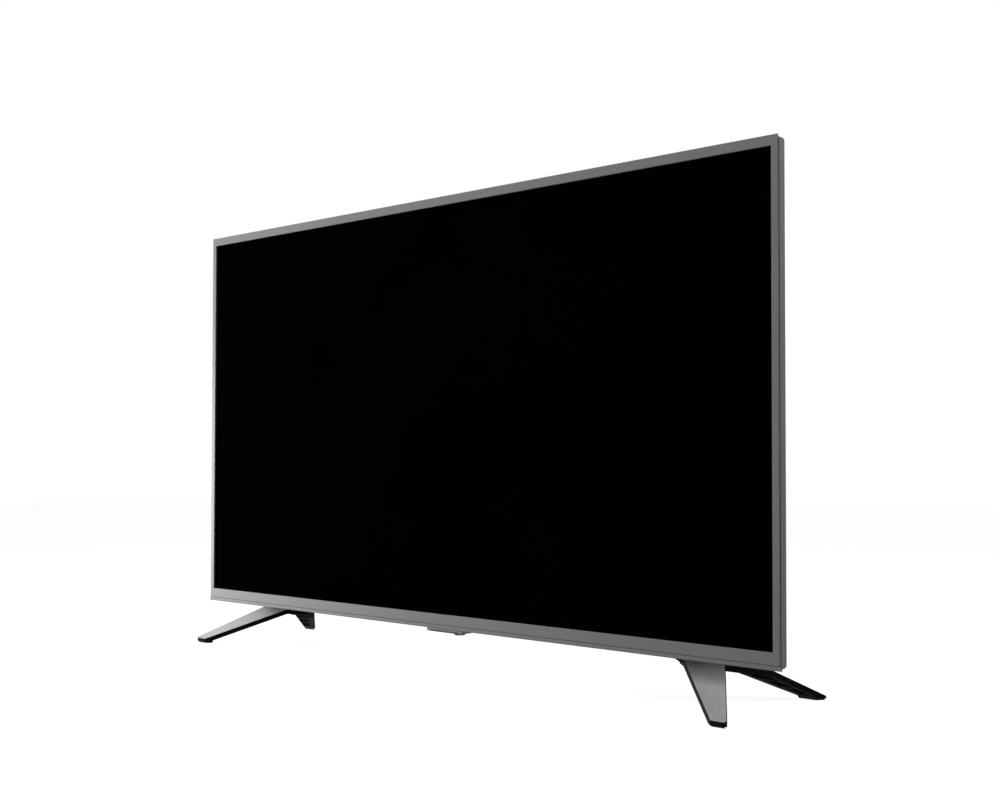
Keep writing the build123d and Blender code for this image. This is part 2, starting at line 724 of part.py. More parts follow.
# Heat sink on the processor: a plate with upright fins
sink_size = 50.0
sink_base = 3.0
sink_fins = 9
sink_fin_thick = 1.4
sink_fin_length = 14.0
sink_pitch = (sink_size - sink_fin_thick) / (sink_fins - 1)
with BuildPart() as main_heat_sink:
    sink_depth = board_back + processor_thick
    slab(processor_place[0], sink_depth, processor_place[1] - sink_size / 2, sink_size, sink_base, sink_size)
    for i in range(sink_fins):
        slab(processor_place[0] + (i - (sink_fins - 1) / 2) * sink_pitch, sink_depth + sink_base,
             processor_place[1] - sink_size / 2, sink_fin_thick, sink_fin_length, sink_size)
main_heat_sink.part.label = "main_heat_sink"
export_step(main_heat_sink.part, "parts/main_heat_sink.step")

# Side sockets, which open sideways through the side bay's wall
socket_wall = 0.5
socket_face_setback = 0.4
side_socket_face = side_bay_wall_across + socket_face_setback
hdmi_width = 15.0
hdmi_thick = 6.0
hdmi_length = 12.0
hdmi_tongue_thick = 1.0
hdmi_tongue_width = 11.0
hdmi_lows = (130.0, 152.0)
usb_width = 14.4
usb_thick = 7.0
usb_length = 14.0
usb_tongue_thick = 1.8
usb_tongue_width = 11.0
usb_lows = (176.0, 195.0)
tongue_setback = 1.5


def side_sockets(lows, width, thick, length, tongue_width, tongue_thick, tongue_off):
    """Row of metal sockets on the board's edge, each with an open mouth and a contact tongue inside."""
    mid = side_socket_face + length / 2
    for low in lows:
        slab(mid, board_back, low, length, thick, width)
        slab(mid - socket_wall, board_back + socket_wall, low + socket_wall, length, thick - 2 * socket_wall,
             width - 2 * socket_wall, Mode.SUBTRACT)
        slab(mid + tongue_setback / 2, board_back + (thick - tongue_thick) / 2 + tongue_off,
             low + (width - tongue_width) / 2, length - tongue_setback, tongue_thick, tongue_width)


with BuildPart() as hdmi_sockets:
    side_sockets(hdmi_lows, hdmi_width, hdmi_thick, hdmi_length, hdmi_tongue_width, hdmi_tongue_thick, 0)
hdmi_sockets.part.label = "hdmi_sockets"
export_step(hdmi_sockets.part, "parts/hdmi_sockets.step")

usb_tongue_off = 0.9
with BuildPart() as usb_sockets:
    side_sockets(usb_lows, usb_width, usb_thick, usb_length, usb_tongue_width, usb_tongue_thick,
                 usb_tongue_off)
usb_sockets.part.label = "usb_sockets"
export_step(usb_sockets.part, "parts/usb_sockets.step")

# Headphone jack: a black block with a 3.6 mm bore
headphone_low = 214.0
headphone_size = 9.0
headphone_length = 14.0
headphone_bore = 1.8
headphone_bore_length = 12.0
headphone_mid = headphone_low + headphone_size / 2
headphone_depth = board_back + headphone_size / 2
with BuildPart() as headphone_jack:
    slab(side_socket_face + headphone_length / 2, board_back, headphone_low, headphone_length,
         headphone_size,
         headphone_size)
    with BuildSketch(Plane.YZ.offset(side_socket_face)):
        with Locations((at_depth(headphone_depth), at_height(headphone_mid))):
            Circle(headphone_bore)
    extrude(amount=headphone_bore_length, mode=Mode.SUBTRACT)
headphone_jack.part.label = "headphone_jack"
export_step(headphone_jack.part, "parts/headphone_jack.step")

# Rear sockets, which open backwards through the rear bay's floor
socket_mid = rear_bay_low + rear_bay_tall / 2
rear_socket_face = rear_bay_depth - socket_face_setback
network_offset = 62.0
network_across = rear_bay_across - network_offset
network_width = 16.0
network_tall = 15.0
network_mouth_width = 11.8
network_mouth_tall = 8.4
network_mouth_length = 11.0
aerial_offset = 39.0
aerial_across = rear_bay_across - aerial_offset
aerial_pitch = 19.0
aerial_radius = 4.7
aerial_base_radius = 6.2
aerial_collar = 6.0
aerial_bore = 2.6
aerial_bore_length = 7.0
aerial_reach = 7.0
optical_offset = 1.0
optical_across = rear_bay_across - optical_offset
optical_size = 10.0
optical_mouth = 5.2
optical_mouth_length = 6.0
av_offset = 16.0
av_across = rear_bay_across + av_offset
av_pitch = 13.0
av_count = 5
av_radius = 4.15
av_shell_radius = 5.6
av_collar = 4.0
av_bore = 1.7
av_bore_length = 8.0
av_reach = 7.0
rear_socket_length = rear_socket_face - board_back
with BuildPart() as network_socket:
    slab(network_across, board_back, socket_mid - network_tall / 2, network_width, rear_socket_length,
         network_tall)
    slab(network_across, rear_socket_face - network_mouth_length, socket_mid - network_mouth_tall / 2,
         network_mouth_width, network_mouth_length + cut_over, network_mouth_tall, Mode.SUBTRACT)
network_socket.part.label = "network_socket"
export_step(network_socket.part, "parts/network_socket.step")

aerial_places = [(aerial_across + i * aerial_pitch, socket_mid) for i in range(2)]
aerial_end = rear_socket_face + aerial_reach
with BuildPart() as aerial_sockets:
    rods(aerial_places, board_back, aerial_base_radius, rear_socket_length - aerial_collar)
    rods(aerial_places, board_back, aerial_radius, aerial_end - board_back)
    rods(aerial_places, aerial_end - aerial_bore_length, aerial_bore, aerial_bore_length + cut_over,
         Mode.SUBTRACT)
aerial_sockets.part.label = "aerial_sockets"
export_step(aerial_sockets.part, "parts/aerial_sockets.step")

with BuildPart() as optical_socket:
    slab(optical_across, board_back, socket_mid - optical_size / 2, optical_size, rear_socket_length,
         optical_size)
    slab(optical_across, rear_socket_face - optical_mouth_length, socket_mid - optical_mouth / 2,
         optical_mouth,
         optical_mouth_length + cut_over, optical_mouth, Mode.SUBTRACT)
optical_socket.part.label = "optical_socket"
export_step(optical_socket.part, "parts/optical_socket.step")

av_places = [(av_across + i * av_pitch, socket_mid) for i in range(av_count)]
av_end = rear_socket_face + av_reach
with BuildPart() as av_jacks:
    rods(av_places, board_back, av_shell_radius, rear_socket_length - av_collar)
    rods(av_places, board_back, av_radius, av_end - board_back)
    rods(av_places, av_end - av_bore_length, av_bore, av_bore_length + cut_over, Mode.SUBTRACT)
av_jacks.part.label = "av_jacks"
export_step(av_jacks.part, "parts/av_jacks.step")

# Terminal plates behind the bays' windows, holed for each socket
terminal_thick = 1.3
terminal_margin = 1.2
socket_slip = 0.3
rear_terminal_depth = rear_bay_depth - cover_wall - terminal_thick
rear_terminal_width = rear_window_width + 2 * terminal_margin
rear_terminal_tall = rear_window_tall + 2 * terminal_margin
with BuildPart() as rear_terminal_plate:
    slab(rear_bay_across, rear_terminal_depth, socket_mid - rear_terminal_tall / 2, rear_terminal_width,
         terminal_thick, rear_terminal_tall)
    for across, width, tall in ((network_across, network_width, network_tall),
                                (optical_across, optical_size, optical_size)):
        slab(across, rear_terminal_depth - cut_over, socket_mid - tall / 2 - socket_slip,
             width + 2 * socket_slip, terminal_thick + 2 * cut_over, tall + 2 * socket_slip, Mode.SUBTRACT)
    for places, radius in ((aerial_places, aerial_radius), (av_places, av_radius)):
        rods(places, rear_terminal_depth - cut_over, radius + socket_slip, terminal_thick + 2 * cut_over,
             Mode.SUBTRACT)
rear_terminal_plate.part.label = "rear_terminal_plate"
export_step(rear_terminal_plate.part, "parts/rear_terminal_plate.step")

side_terminal_across = side_bay_wall_across + cover_wall + terminal_thick / 2
side_terminal_front = board_back
side_terminal_depth = side_window_front + side_window_depth + terminal_margin - board_back
side_mouths = [(low, hdmi_width, hdmi_thick) for low in hdmi_lows]
side_mouths += [(low, usb_width, usb_thick) for low in usb_lows]
side_mouths += [(headphone_low, headphone_size, headphone_size)]
with BuildPart() as side_terminal_plate:
    slab(side_terminal_across, side_terminal_front, side_window_low - terminal_margin, terminal_thick,
         side_terminal_depth, side_window_tall + 2 * terminal_margin)
    for low, tall, thick in side_mouths:
        slab(side_terminal_across, side_terminal_front - cut_over, low - socket_slip,
             terminal_thick + 2 * cut_over, thick + socket_slip + cut_over, tall + 2 * socket_slip,
             Mode.SUBTRACT)
side_terminal_plate.part.label = "side_terminal_plate"
export_step(side_terminal_plate.part, "parts/side_terminal_plate.step")

# Power board and what stands on it
with BuildPart() as power_board:
    slab(power_board_across, board_depth, power_board_low, power_board_width, board_thick, power_board_tall)
    rods(power_holes, board_depth - cut_over, screw_slip, board_thick + 2 * cut_over, Mode.SUBTRACT)
    plug((power_board_edge + board_edge_gap + harness_plug[0] / 2, harness_height), harness_plug)
    plug((power_board_edge + board_edge_gap + lead_plug[0] / 2, feed_plug_height), lead_plug)
power_board.part.label = "power_board"
export_step(power_board.part, "parts/power_board.step")


def on_power(share):
    """Place on the power board by shares of its width from its middle and of its height."""
    return (power_board_across + share[0] * power_board_width, power_board_low + share[1] * power_board_tall)


capacitor_radius = 9.0
capacitor_length = 31.0
capacitor_edge = 1.0
small_capacitor_radius = 5.0
small_capacitor_length = 20.0
capacitor_shares = ((0.36, 0.5), (0.36, 0.64), (0.36, 0.78))
small_capacitor_shares = ((-0.4, 0.3), (-0.4, 0.4), (-0.4, 0.5), (-0.4, 0.6))
with BuildPart() as power_capacitors:
    rods([on_power(share) for share in capacitor_shares], board_back, capacitor_radius, capacitor_length)
    rods([on_power(share) for share in small_capacitor_shares], board_back, small_capacitor_radius,
         small_capacitor_length)
    fillet(power_capacitors.edges().filter_by(GeomType.CIRCLE).group_by(Axis.Y)[-1], capacitor_edge)
power_capacitors.part.label = "power_capacitors"
export_step(power_capacitors.part, "parts/power_capacitors.step")

# Transformer with its bobbin, and the flat coil of the input stage
transformer_share = (-0.02, 0.62)
transformer_width = 36.0
transformer_tall = 34.0
core_thick = 9.0
winding_width = 30.0
winding_tall = 22.0
transformer_length = 26.0
winding_setback = 3.0
coil_share = (0.05, 0.36)
coil_radius = 12.0
coil_bore = 5.0
coil_length = 20.0
with BuildPart() as power_windings:
    across, mid = on_power(transformer_share)
    slab(across, board_back, mid - transformer_tall / 2, transformer_width, core_thick, transformer_tall)
    slab(across, board_back, mid - winding_tall / 2, winding_width, transformer_length, winding_tall)
    slab(across, board_back + transformer_length - core_thick + winding_setback, mid - transformer_tall / 2,
         transformer_width, core_thick, transformer_tall)
    rods([on_power(coil_share)], board_back, coil_radius, coil_length)
    rods([on_power(coil_share)], board_back + winding_setback, coil_bore, coil_length, Mode.SUBTRACT)
power_windings.part.label = "power_windings"
export_step(power_windings.part, "parts/power_windings.step")

power_sink_shares = ((-0.18, 0.2), (0.2, 0.72))
power_sink_width = 3.0
power_sink_length = 28.0
power_sink_tall = 48.0
power_sink_foot = 10.0
with BuildPart() as power_heat_sinks:
    for share in power_sink_shares:
        across, mid = on_power(share)
        slab(across, board_back, mid - power_sink_tall / 2, power_sink_width, power_sink_length,
             power_sink_tall)
        slab(across - power_sink_foot / 2, board_back + power_sink_length - power_sink_width,
             mid - power_sink_tall / 2, power_sink_foot, power_sink_width, power_sink_tall)
power_heat_sinks.part.label = "power_heat_sinks"
export_step(power_heat_sinks.part, "parts/power_heat_sinks.step")

# Mains inlet: two-pin figure-eight inlet on the power board
inlet_face = inlet_bay_depth - socket_face_setback
inlet_pin_pitch = 8.6
inlet_mouth_radius = 4.4
inlet_mouth_length = 12.0
inlet_pin_radius = 1.2
inlet_pin_setback = 2.5
inlet_mid = inlet_low + inlet_tall / 2
inlet_pins = [(inlet_bay_across + side * inlet_pin_pitch / 2, inlet_mid) for side in (-1, 1)]
with BuildPart() as mains_inlet:
    slab(inlet_bay_across, board_back, inlet_low, inlet_width, inlet_face - board_back, inlet_tall)
    rods(inlet_pins, inlet_face - inlet_mouth_length, inlet_mouth_radius, inlet_mouth_length + cut_over,
         Mode.SUBTRACT)
    slab(inlet_bay_across, inlet_face - inlet_mouth_length, inlet_mid - inlet_mouth_radius / 2,
         inlet_pin_pitch, inlet_mouth_length + cut_over, inlet_mouth_radius, Mode.SUBTRACT)
    rods(inlet_pins, inlet_face - inlet_mouth_length, inlet_pin_radius,
         inlet_mouth_length - inlet_pin_setback)
mains_inlet.part.label = "mains_inlet"
export_step(mains_inlet.part, "parts/mains_inlet.step")

# Timing board under a pressed shield, with its ribbon plugs on the lower edge
shield_width = 74.0
shield_tall = 34.0
shield_thick = 2.4
timing_plug_low = timing_board_low + ribbon_plug_rise
with BuildPart() as timing_board:
    slab(0, board_depth, timing_board_low, timing_board_width, board_thick, timing_board_tall)
    rods(timing_holes, board_depth - cut_over, screw_slip, board_thick + 2 * cut_over, Mode.SUBTRACT)
    slab(0, board_back, timing_board_low + (timing_board_tall - shield_tall) / 2, shield_width, shield_thick,
         shield_tall)
    for across in ribbon_places:
        slab(across, board_back, timing_plug_low, ribbon_width, ribbon_plug_thick, ribbon_plug_tall)
    plug(((ribbon_plug_length - timing_board_width) / 2, ribbon_plug_mid),
         (ribbon_plug_length, ribbon_width, ribbon_plug_thick))
timing_board.part.label = "timing_board"
export_step(timing_board.part, "parts/timing_board.step")

# Flat ribbons from the timing board down to the source boards
ribbon_thick = 0.4
ribbon_bend = 4.0
ribbon_sag_height = 20.0
ribbon_turn_depth = 33.5
ribbon_turn_height = 57.0
source_plug_mid = source_board_back + ribbon_plug_thick / 2
source_plug_top = source_board_low + ribbon_plug_rise + ribbon_plug_tall
timing_plug_mid = board_back + ribbon_plug_thick / 2
with BuildPart() as source_ribbons:
    for across in ribbon_places:
        with BuildSketch(Plane.YZ.offset(across - ribbon_width / 2)):
            with BuildLine():
                FilletPolyline(
                    (at_depth(source_plug_mid), at_height(source_plug_top)),
                    (at_depth(source_plug_mid), at_height(ribbon_sag_height)),
                    (at_depth(ribbon_turn_depth), at_height(ribbon_turn_height)),
                    (at_depth(timing_plug_mid), at_height(timing_plug_low - ribbon_plug_tall)),
                    (at_depth(timing_plug_mid), at_height(timing_plug_low)),
                    radius=ribbon_bend,
                )
            trace(line_width=ribbon_thick)
        extrude(amount=ribbon_width)
source_ribbons.part.label = "source_ribbons"
export_step(source_ribbons.part, "parts/source_ribbons.step")

# Flat ribbon from the main board across to the timing board, sagging towards the pan
panel_ribbon_run = 12.0
panel_ribbon_slope = 8.0
panel_ribbon_depth = 33.5
timing_board_edge = -timing_board_width / 2
with BuildPart() as panel_ribbon:
    with BuildSketch(Plane.XY.offset(at_height(ribbon_plug_mid - ribbon_width / 2))):
        with BuildLine():
            FilletPolyline(
                (main_board_edge, at_depth(timing_plug_mid)),
                (main_board_edge + panel_ribbon_run, at_depth(timing_plug_mid)),
                (main_board_edge + panel_ribbon_run + panel_ribbon_slope, at_depth(panel_ribbon_depth)),
                (timing_board_edge - panel_ribbon_run - panel_ribbon_slope, at_depth(panel_ribbon_depth)),
                (timing_board_edge - panel_ribbon_run, at_depth(timing_plug_mid)),
                (timing_board_edge, at_depth(timing_plug_mid)),
                radius=ribbon_bend,
            )
        trace(line_width=ribbon_thick)
    extrude(amount=ribbon_width)
panel_ribbon.part.label = "panel_ribbon"
export_step(panel_ribbon.part, "parts/panel_ribbon.step")

# Speakers: a sealed box each, with a driver that faces the grille in the cover's underside
speaker_wall = 2.2
driver_radius = 15.4
driver_gap = 0.3
driver_flange_radius = 18.0
driver_flange_thick = 1.5
driver_shell = 0.8
basket_length = 14.0
basket_plate = 2.0
magnet_radius = 12.5
magnet_length = 7.0
cone_gap = 0.4
cone_rise = 6.0
cone_throat_radius = 6.5
cone_thick = 0.8
cone_start = 1.0
voice_coil_radius = 6.0
voice_coil_wall = 0.6
voice_coil_length = 4.0
driver_middle = speaker_depth + speaker_thick / 2
flange_low = speaker_low - driver_flange_thick
basket_top = speaker_low + basket_length
speaker_cavity = (speaker_width - 2 * speaker_wall, speaker_thick - 2 * speaker_wall,
                  speaker_tall - 2 * speaker_wall)
cone_radius = driver_radius - driver_shell - cone_gap
cone_low = flange_low + cone_start

with BuildPart() as speaker_box_right:
    slab(speaker_across, speaker_depth, speaker_low, speaker_width, speaker_thick, speaker_tall)
    slab(speaker_across, speaker_depth + speaker_wall, speaker_low + speaker_wall, *speaker_cavity,
         Mode.SUBTRACT)
    uprights([(speaker_across, driver_middle)], speaker_low - cut_over, driver_radius + driver_gap,
             speaker_wall + 2 * cut_over, Mode.SUBTRACT)
speaker_box_right.part.label = "speaker_box_right"
export_step(speaker_box_right.part, "parts/speaker_box_right.step")

with BuildPart() as speaker_driver_right:
    driver_place = [(speaker_across, driver_middle)]
    uprights(driver_place, flange_low, driver_flange_radius, driver_flange_thick)
    uprights(driver_place, speaker_low, driver_radius, basket_length)
    uprights(driver_place, flange_low - cut_over, driver_radius - driver_shell,
             basket_top - basket_plate - flange_low + cut_over, Mode.SUBTRACT)
    uprights(driver_place, basket_top, magnet_radius, magnet_length)
speaker_driver_right.part.label = "speaker_driver_right"
export_step(speaker_driver_right.part, "parts/speaker_driver_right.step")

with BuildPart() as speaker_cone_right:
    with BuildSketch(Plane.XZ.offset(-at_depth(driver_middle))):
        with BuildLine():
            Polyline(
                (speaker_across, at_height(cone_low + cone_rise)),
                (speaker_across + cone_throat_radius, at_height(cone_low + cone_rise)),
                (speaker_across + cone_radius, at_height(cone_low)),
                (speaker_across + cone_radius, at_height(cone_low + cone_thick)),
                (speaker_across + cone_throat_radius, at_height(cone_low + cone_rise + cone_thick)),
                (speaker_across + voice_coil_radius, at_height(cone_low + cone_rise + cone_thick)),
                (speaker_across + voice_coil_radius, at_height(cone_low + cone_rise + voice_coil_length)),
                (speaker_across + voice_coil_radius - voice_coil_wall,
                 at_height(cone_low + cone_rise + voice_coil_length)),
                (speaker_across + voice_coil_radius - voice_coil_wall,
                 at_height(cone_low + cone_rise + cone_thick)),
                (speaker_across, at_height(cone_low + cone_rise + cone_thick)),
                close=True,
            )
        make_face()
    revolve(axis=Axis((speaker_across, at_depth(driver_middle), 0), (0, 0, 1)))
speaker_cone_right.part.label = "speaker_cone_right"
export_step(speaker_cone_right.part, "parts/speaker_cone_right.step")

with BuildPart() as speaker_box_left:
    mirror(speaker_box_right.part, about=Plane.YZ)
speaker_box_left.part.label = "speaker_box_left"
export_step(speaker_box_left.part, "parts/speaker_box_left.step")

with BuildPart() as speaker_driver_left:
    mirror(speaker_driver_right.part, about=Plane.YZ)
speaker_driver_left.part.label = "speaker_driver_left"
export_step(speaker_driver_left.part, "parts/speaker_driver_left.step")

with BuildPart() as speaker_cone_left:
    mirror(speaker_cone_right.part, about=Plane.YZ)
speaker_cone_left.part.label = "speaker_cone_left"
export_step(speaker_cone_left.part, "parts/speaker_cone_left.step")

# Wireless board above the timing board
wireless_chip = 12.0
wireless_chip_thick = 2.0
wireless_plug = (4.0, 8.0, 3.0)
with BuildPart() as wireless_board:
    slab(0, board_depth, wireless_low, wireless_width, board_thick, wireless_tall)
    rods(wireless_holes, board_depth - cut_over, screw_slip, board_thick + 2 * cut_over, Mode.SUBTRACT)
    slab(0, board_back, wireless_low + (wireless_tall - wireless_chip) / 2, wireless_chip,
         wireless_chip_thick,
         wireless_chip)
    plug(((wireless_plug[0] - wireless_width) / 2, wireless_low + wireless_tall - wireless_plug[1]),
         wireless_plug)
wireless_board.part.label = "wireless_board"
export_step(wireless_board.part, "parts/wireless_board.step")

# Control stick under the frame's middle: a housing through the cover, a gimbal of two rings and a knob
housing_low = -4.2
housing_bore = 8.6
housing_flange_radius = 13.0
housing_flange_thick = 1.6
sensor_board_low = 13.4
pivot_height = 3.0
pivot_radius = 0.8
pivot_slip = 0.05
pivot_length = 1.4
ring_radius = 8.2
ring_bore = 6.4
ring_tall = 2.4
yoke_radius = 6.0
yoke_bore = 2.05
yoke_sleeve_radius = 3.2
yoke_sleeve_low = -1.0
yoke_sleeve_top = 6.0
shaft_radius = 1.95
shaft_top = 9.0
shaft_clip_radius = 2.7
shaft_clip_thick = 0.8
shaft_clip_gap = 0.15
neck_radius = 3.4
neck_top = -1.7
knob_radius = 7.5
knob_low = -12.4
knob_top = -7.4
knob_edge = 0.8
control_place = [(0, control_depth)]


def pivot_pins(plane, start, length, radius, mode=Mode.ADD):
    """Two pins or holes on the gimbal's level, one each way from the stick's middle."""
    with BuildSketch(plane.offset(start)) as tip:
        Circle(radius)
    extrude(tip.sketch, amount=length, mode=mode)


stick_middle = (0, at_depth(control_depth), at_height(pivot_height))
pivots_across = [Plane(origin=stick_middle, z_dir=(side, 0, 0)) for side in (-1, 1)]
pivots_back = [Plane(origin=stick_middle, z_dir=(0, side, 0)) for side in (-1, 1)]

with BuildPart() as control_housing:
    uprights(control_place, housing_low, housing_radius, sensor_board_low - housing_low)
    uprights(control_place, bulge_bottom + cover_wall, housing_flange_radius, housing_flange_thick)
    uprights(control_place, housing_low - cut_over, housing_bore,
             sensor_board_low - housing_low + 2 * cut_over,
             Mode.SUBTRACT)
    for plane in pivots_across:
        pivot_pins(plane, ring_bore, housing_radius - ring_bore + cut_over, pivot_radius + pivot_slip,
                   Mode.SUBTRACT)
control_housing.part.label = "control_housing"
export_step(control_housing.part, "parts/control_housing.step")

with BuildPart() as control_ring:
    uprights(control_place, pivot_height - ring_tall / 2, ring_radius, ring_tall)
    for plane in pivots_across:
        pivot_pins(plane, ring_bore, ring_radius - ring_bore + pivot_length, pivot_radius)
    uprights(control_place, pivot_height - ring_tall / 2 - cut_over, ring_bore, ring_tall + 2 * cut_over,
             Mode.SUBTRACT)
    for plane in pivots_back:
        pivot_pins(plane, yoke_radius, ring_radius - yoke_radius + cut_over, pivot_radius + pivot_slip,
                   Mode.SUBTRACT)
control_ring.part.label = "control_ring"
export_step(control_ring.part, "parts/control_ring.step")

with BuildPart() as control_yoke:
    uprights(control_place, pivot_height - ring_tall / 2, yoke_radius, ring_tall)
    uprights(control_place, yoke_sleeve_low, yoke_sleeve_radius, yoke_sleeve_top - yoke_sleeve_low)
    for plane in pivots_back:
        pivot_pins(plane, yoke_bore, yoke_radius - yoke_bore + pivot_length, pivot_radius)
    uprights(control_place, yoke_sleeve_low - cut_over, yoke_bore,
             yoke_sleeve_top - yoke_sleeve_low + 2 * cut_over, Mode.SUBTRACT)
control_yoke.part.label = "control_yoke"
export_step(control_yoke.part, "parts/control_yoke.step")

with BuildPart() as control_knob:
    uprights(control_place, knob_low, knob_radius, knob_top - knob_low)
    fillet(control_knob.edges().filter_by(GeomType.CIRCLE), knob_edge)
    uprights(control_place, knob_top - knob_edge, neck_radius, neck_top - knob_top + knob_edge)
    uprights(control_place, neck_top, shaft_radius, shaft_top - neck_top)
    uprights(control_place, yoke_sleeve_top + shaft_clip_gap, shaft_clip_radius, shaft_clip_thick)
control_knob.part.label = "control_knob"
export_step(control_knob.part, "parts/control_knob.step")

# Sensor board: lies on the control housing, with the stick's switch and the light sensor underneath
sensor_board_width = 56.0
sensor_board_front = 24.8
sensor_board_rear = 58.0
switch_size = 6.0
switch_low = 9.8
eye_size = 6.0
eye_thick = 0.6
sensor_plug_width = 12.0
sensor_plug_thick = 5.0
sensor_plug_tall = 5.0
sensor_board_top = sensor_board_low + board_thick
sensor_plug_front = sensor_board_rear - sensor_plug_thick - seat_gap
with BuildPart() as sensor_board:
    slab(0, sensor_board_front, sensor_board_low, sensor_board_width, sensor_board_rear - sensor_board_front,
         board_thick)
    slab(0, control_depth - switch_size / 2, switch_low, switch_size, switch_size,
         sensor_board_low - switch_low)
    slab(0, light_pipe_front, sensor_board_low - eye_thick, eye_size, light_pipe_thick, eye_thick)
    slab(0, sensor_plug_front, sensor_board_top, sensor_plug_width, sensor_plug_thick, sensor_plug_tall)
sensor_board.part.label = "sensor_board"
export_step(sensor_board.part, "parts/sensor_board.step")

# Sensor hood: the small tab under the frame, with a slot in its face for the dark window
hood_width = 61.0
hood_front = 11.0
hood_back = 31.5
hood_low = -6.2
hood_wall = 1.6
hood_floor = 1.0
hood_edge = 0.6
window_width = 50.0
window_low = -5.8
window_tall = 1.6
window_slip = 0.05
slope_rate = (slope_inset - shoulder_inset) / (thin_depth - shoulder_depth)
band_level = cover_gap - seat_gap
hood_meet = shoulder_depth + (bulge_bottom - cover_gap - shoulder_inset) / slope_rate
with BuildPart() as sensor_hood:
    with BuildSketch(Plane.YZ.offset(-hood_width / 2)):
        with BuildLine():
            Polyline(
                (at_depth(hood_front), at_height(hood_low)),
                (at_depth(hood_front), at_height(band_level)),
                (at_depth(band_rear), at_height(band_level)),
                (at_depth(shoulder_depth), at_height(band_level + shoulder_inset)),
                (at_depth(hood_meet), at_height(bulge_bottom - seat_gap)),
                (at_depth(hood_back), at_height(bulge_bottom - seat_gap)),
                (at_depth(hood_back), at_height(hood_low)),
                close=True,
            )
        make_face()
    extrude(amount=hood_width)
    fillet(sensor_hood.edges().group_by(Axis.Z)[0], hood_edge)
    slab(0, hood_meet, hood_low + hood_floor, hood_width - 2 * hood_wall, hood_back - hood_meet - hood_wall,
         bulge_bottom - hood_low, Mode.SUBTRACT)
    slab(0, hood_front + hood_wall, hood_low + hood_floor, hood_width - 2 * hood_wall,
         hood_back - hood_front - 2 * hood_wall, band_level - hood_low - hood_floor - hood_wall,
         Mode.SUBTRACT)
    slab(0, hood_front - cut_over, window_low - window_slip, window_width + 2 * window_slip,
         hood_wall + cut_over + seat_gap, window_tall + 2 * window_slip, Mode.SUBTRACT)
sensor_hood.part.label = "sensor_hood"
export_step(sensor_hood.part, "parts/sensor_hood.step")

# Sensor window: the dark strip and the light pipe that climbs from it to the sensor
pipe_low = hood_low + hood_floor + seat_gap
pipe_reach = light_pipe_front + light_pipe_thick
with BuildPart() as sensor_window:
    slab(0, hood_front, window_low, window_width, hood_wall, window_tall)
    slab(0, hood_front + hood_wall / 2, pipe_low, light_pipe_width, pipe_reach - hood_front - hood_wall / 2,
         window_low + window_tall - pipe_low)
    slab(0, light_pipe_front, pipe_low, light_pipe_width, light_pipe_thick,
         sensor_board_low - eye_thick - seat_gap - pipe_low)
sensor_window.part.label = "sensor_window"
export_step(sensor_window.part, "parts/sensor_window.step")

# Feet: chevrons in plan, a long front leg and a shorter, steeper rear leg that meet under the set
leg_thick = 6.8
toe_clear = 2.0
apex_under = 43.5
apex_inner_offset = 43.7
apex_outer_offset = 22.2
apex_inner = foot_screw_mid - apex_inner_offset
apex_outer = foot_screw_mid + apex_outer_offset
apex_round = 25.0
crotch_round = 12.0
toe_round = 2.5
foot_seat = floor_gap + bulge_bottom

# Each leg: side of the apex line, reach, fall for each unit of reach, top of the toe and the toe's edges
front_fall_share = 0.495
front_toe_top = 6.2
front_toe_inner_offset = 71.3
front_toe_outer_offset = 92.2
rear_fall_share = 0.553
rear_toe_top = 3.7
rear_toe_inner_offset = 73.0
rear_toe_outer_offset = 96.5
front_toe_inner = foot_screw_mid + front_toe_inner_offset
front_toe_outer = foot_screw_mid + front_toe_outer_offset
rear_toe_inner = foot_screw_mid + rear_toe_inner_offset
rear_toe_outer = foot_screw_mid + rear_toe_outer_offset
front_leg = (-1, front_reach, front_fall_share, front_toe_top, front_toe_inner, front_toe_outer)
rear_leg = (1, rear_reach, rear_fall_share, rear_toe_top, rear_toe_inner, rear_toe_outer)

# Heel: the deeper root of the rear leg
heel_start = 28.0
heel_low = 33.0
heel_end = 50.0

# Foot plate: a silver blade let into the top of the front leg
plate_thick = 1.75
plate_start = 24.0
plate_end = 117.6
plate_margin = 1.1
plate_round = 2.2

# Neck: the block on the apex that flares inwards under the cover
neck_front = 22.0
neck_rear = 13.0
neck_inner_offset = 52.0
neck_outer_offset = 29.0
neck_arc_start_offset = 43.0
neck_arc_end_offset = 20.8
neck_foot_offset = 15.0
neck_inner = foot_screw_mid - neck_inner_offset
neck_outer = foot_screw_mid + neck_outer_offset
neck_flange = 12.0
neck_shoulder = 6.5
neck_arc_start = foot_screw_mid - neck_arc_start_offset
neck_arc_end = foot_screw_mid - neck_arc_end_offset
neck_foot_outer = foot_screw_mid + neck_foot_offset

# Cells: open pockets along the outer half of each leg's underside
cell_inner_wall = 12.0
cell_outer_wall = 4.0
cell_skin = 3.6
cell_start = 30.0
cell_count = 4
cell_rib = 1.8
cell_end_gap = 4.0

# Toe pads: rubber wedges under the toes, flat where they stand on the floor
pad_length = 11.0
sole_start_inset = 9.5
sole_end_inset = 2.5
pad_end_inset = 1.0
rear_pad_extra = 1.5
pad_margin = 3.0

# Screws up through each apex into the stand brackets
foot_head_radius = 4.0
foot_head_thick = 3.0
foot_head_gap = 0.4
foot_sink = 6.0
foot_screw_over = 2.0
plan = Plane(origin=(0, apex_back, 0))
profile = Plane(origin=(0, apex_back, 0), x_dir=(0, 1, 0), z_dir=(1, 0, 0))


def leg_top(leg, back):
    """Height above the floor of a leg's upper face at this distance from the apex line."""
    side, reach, fall, toe_top, inner, outer = leg
    return toe_top + fall * (reach - back)


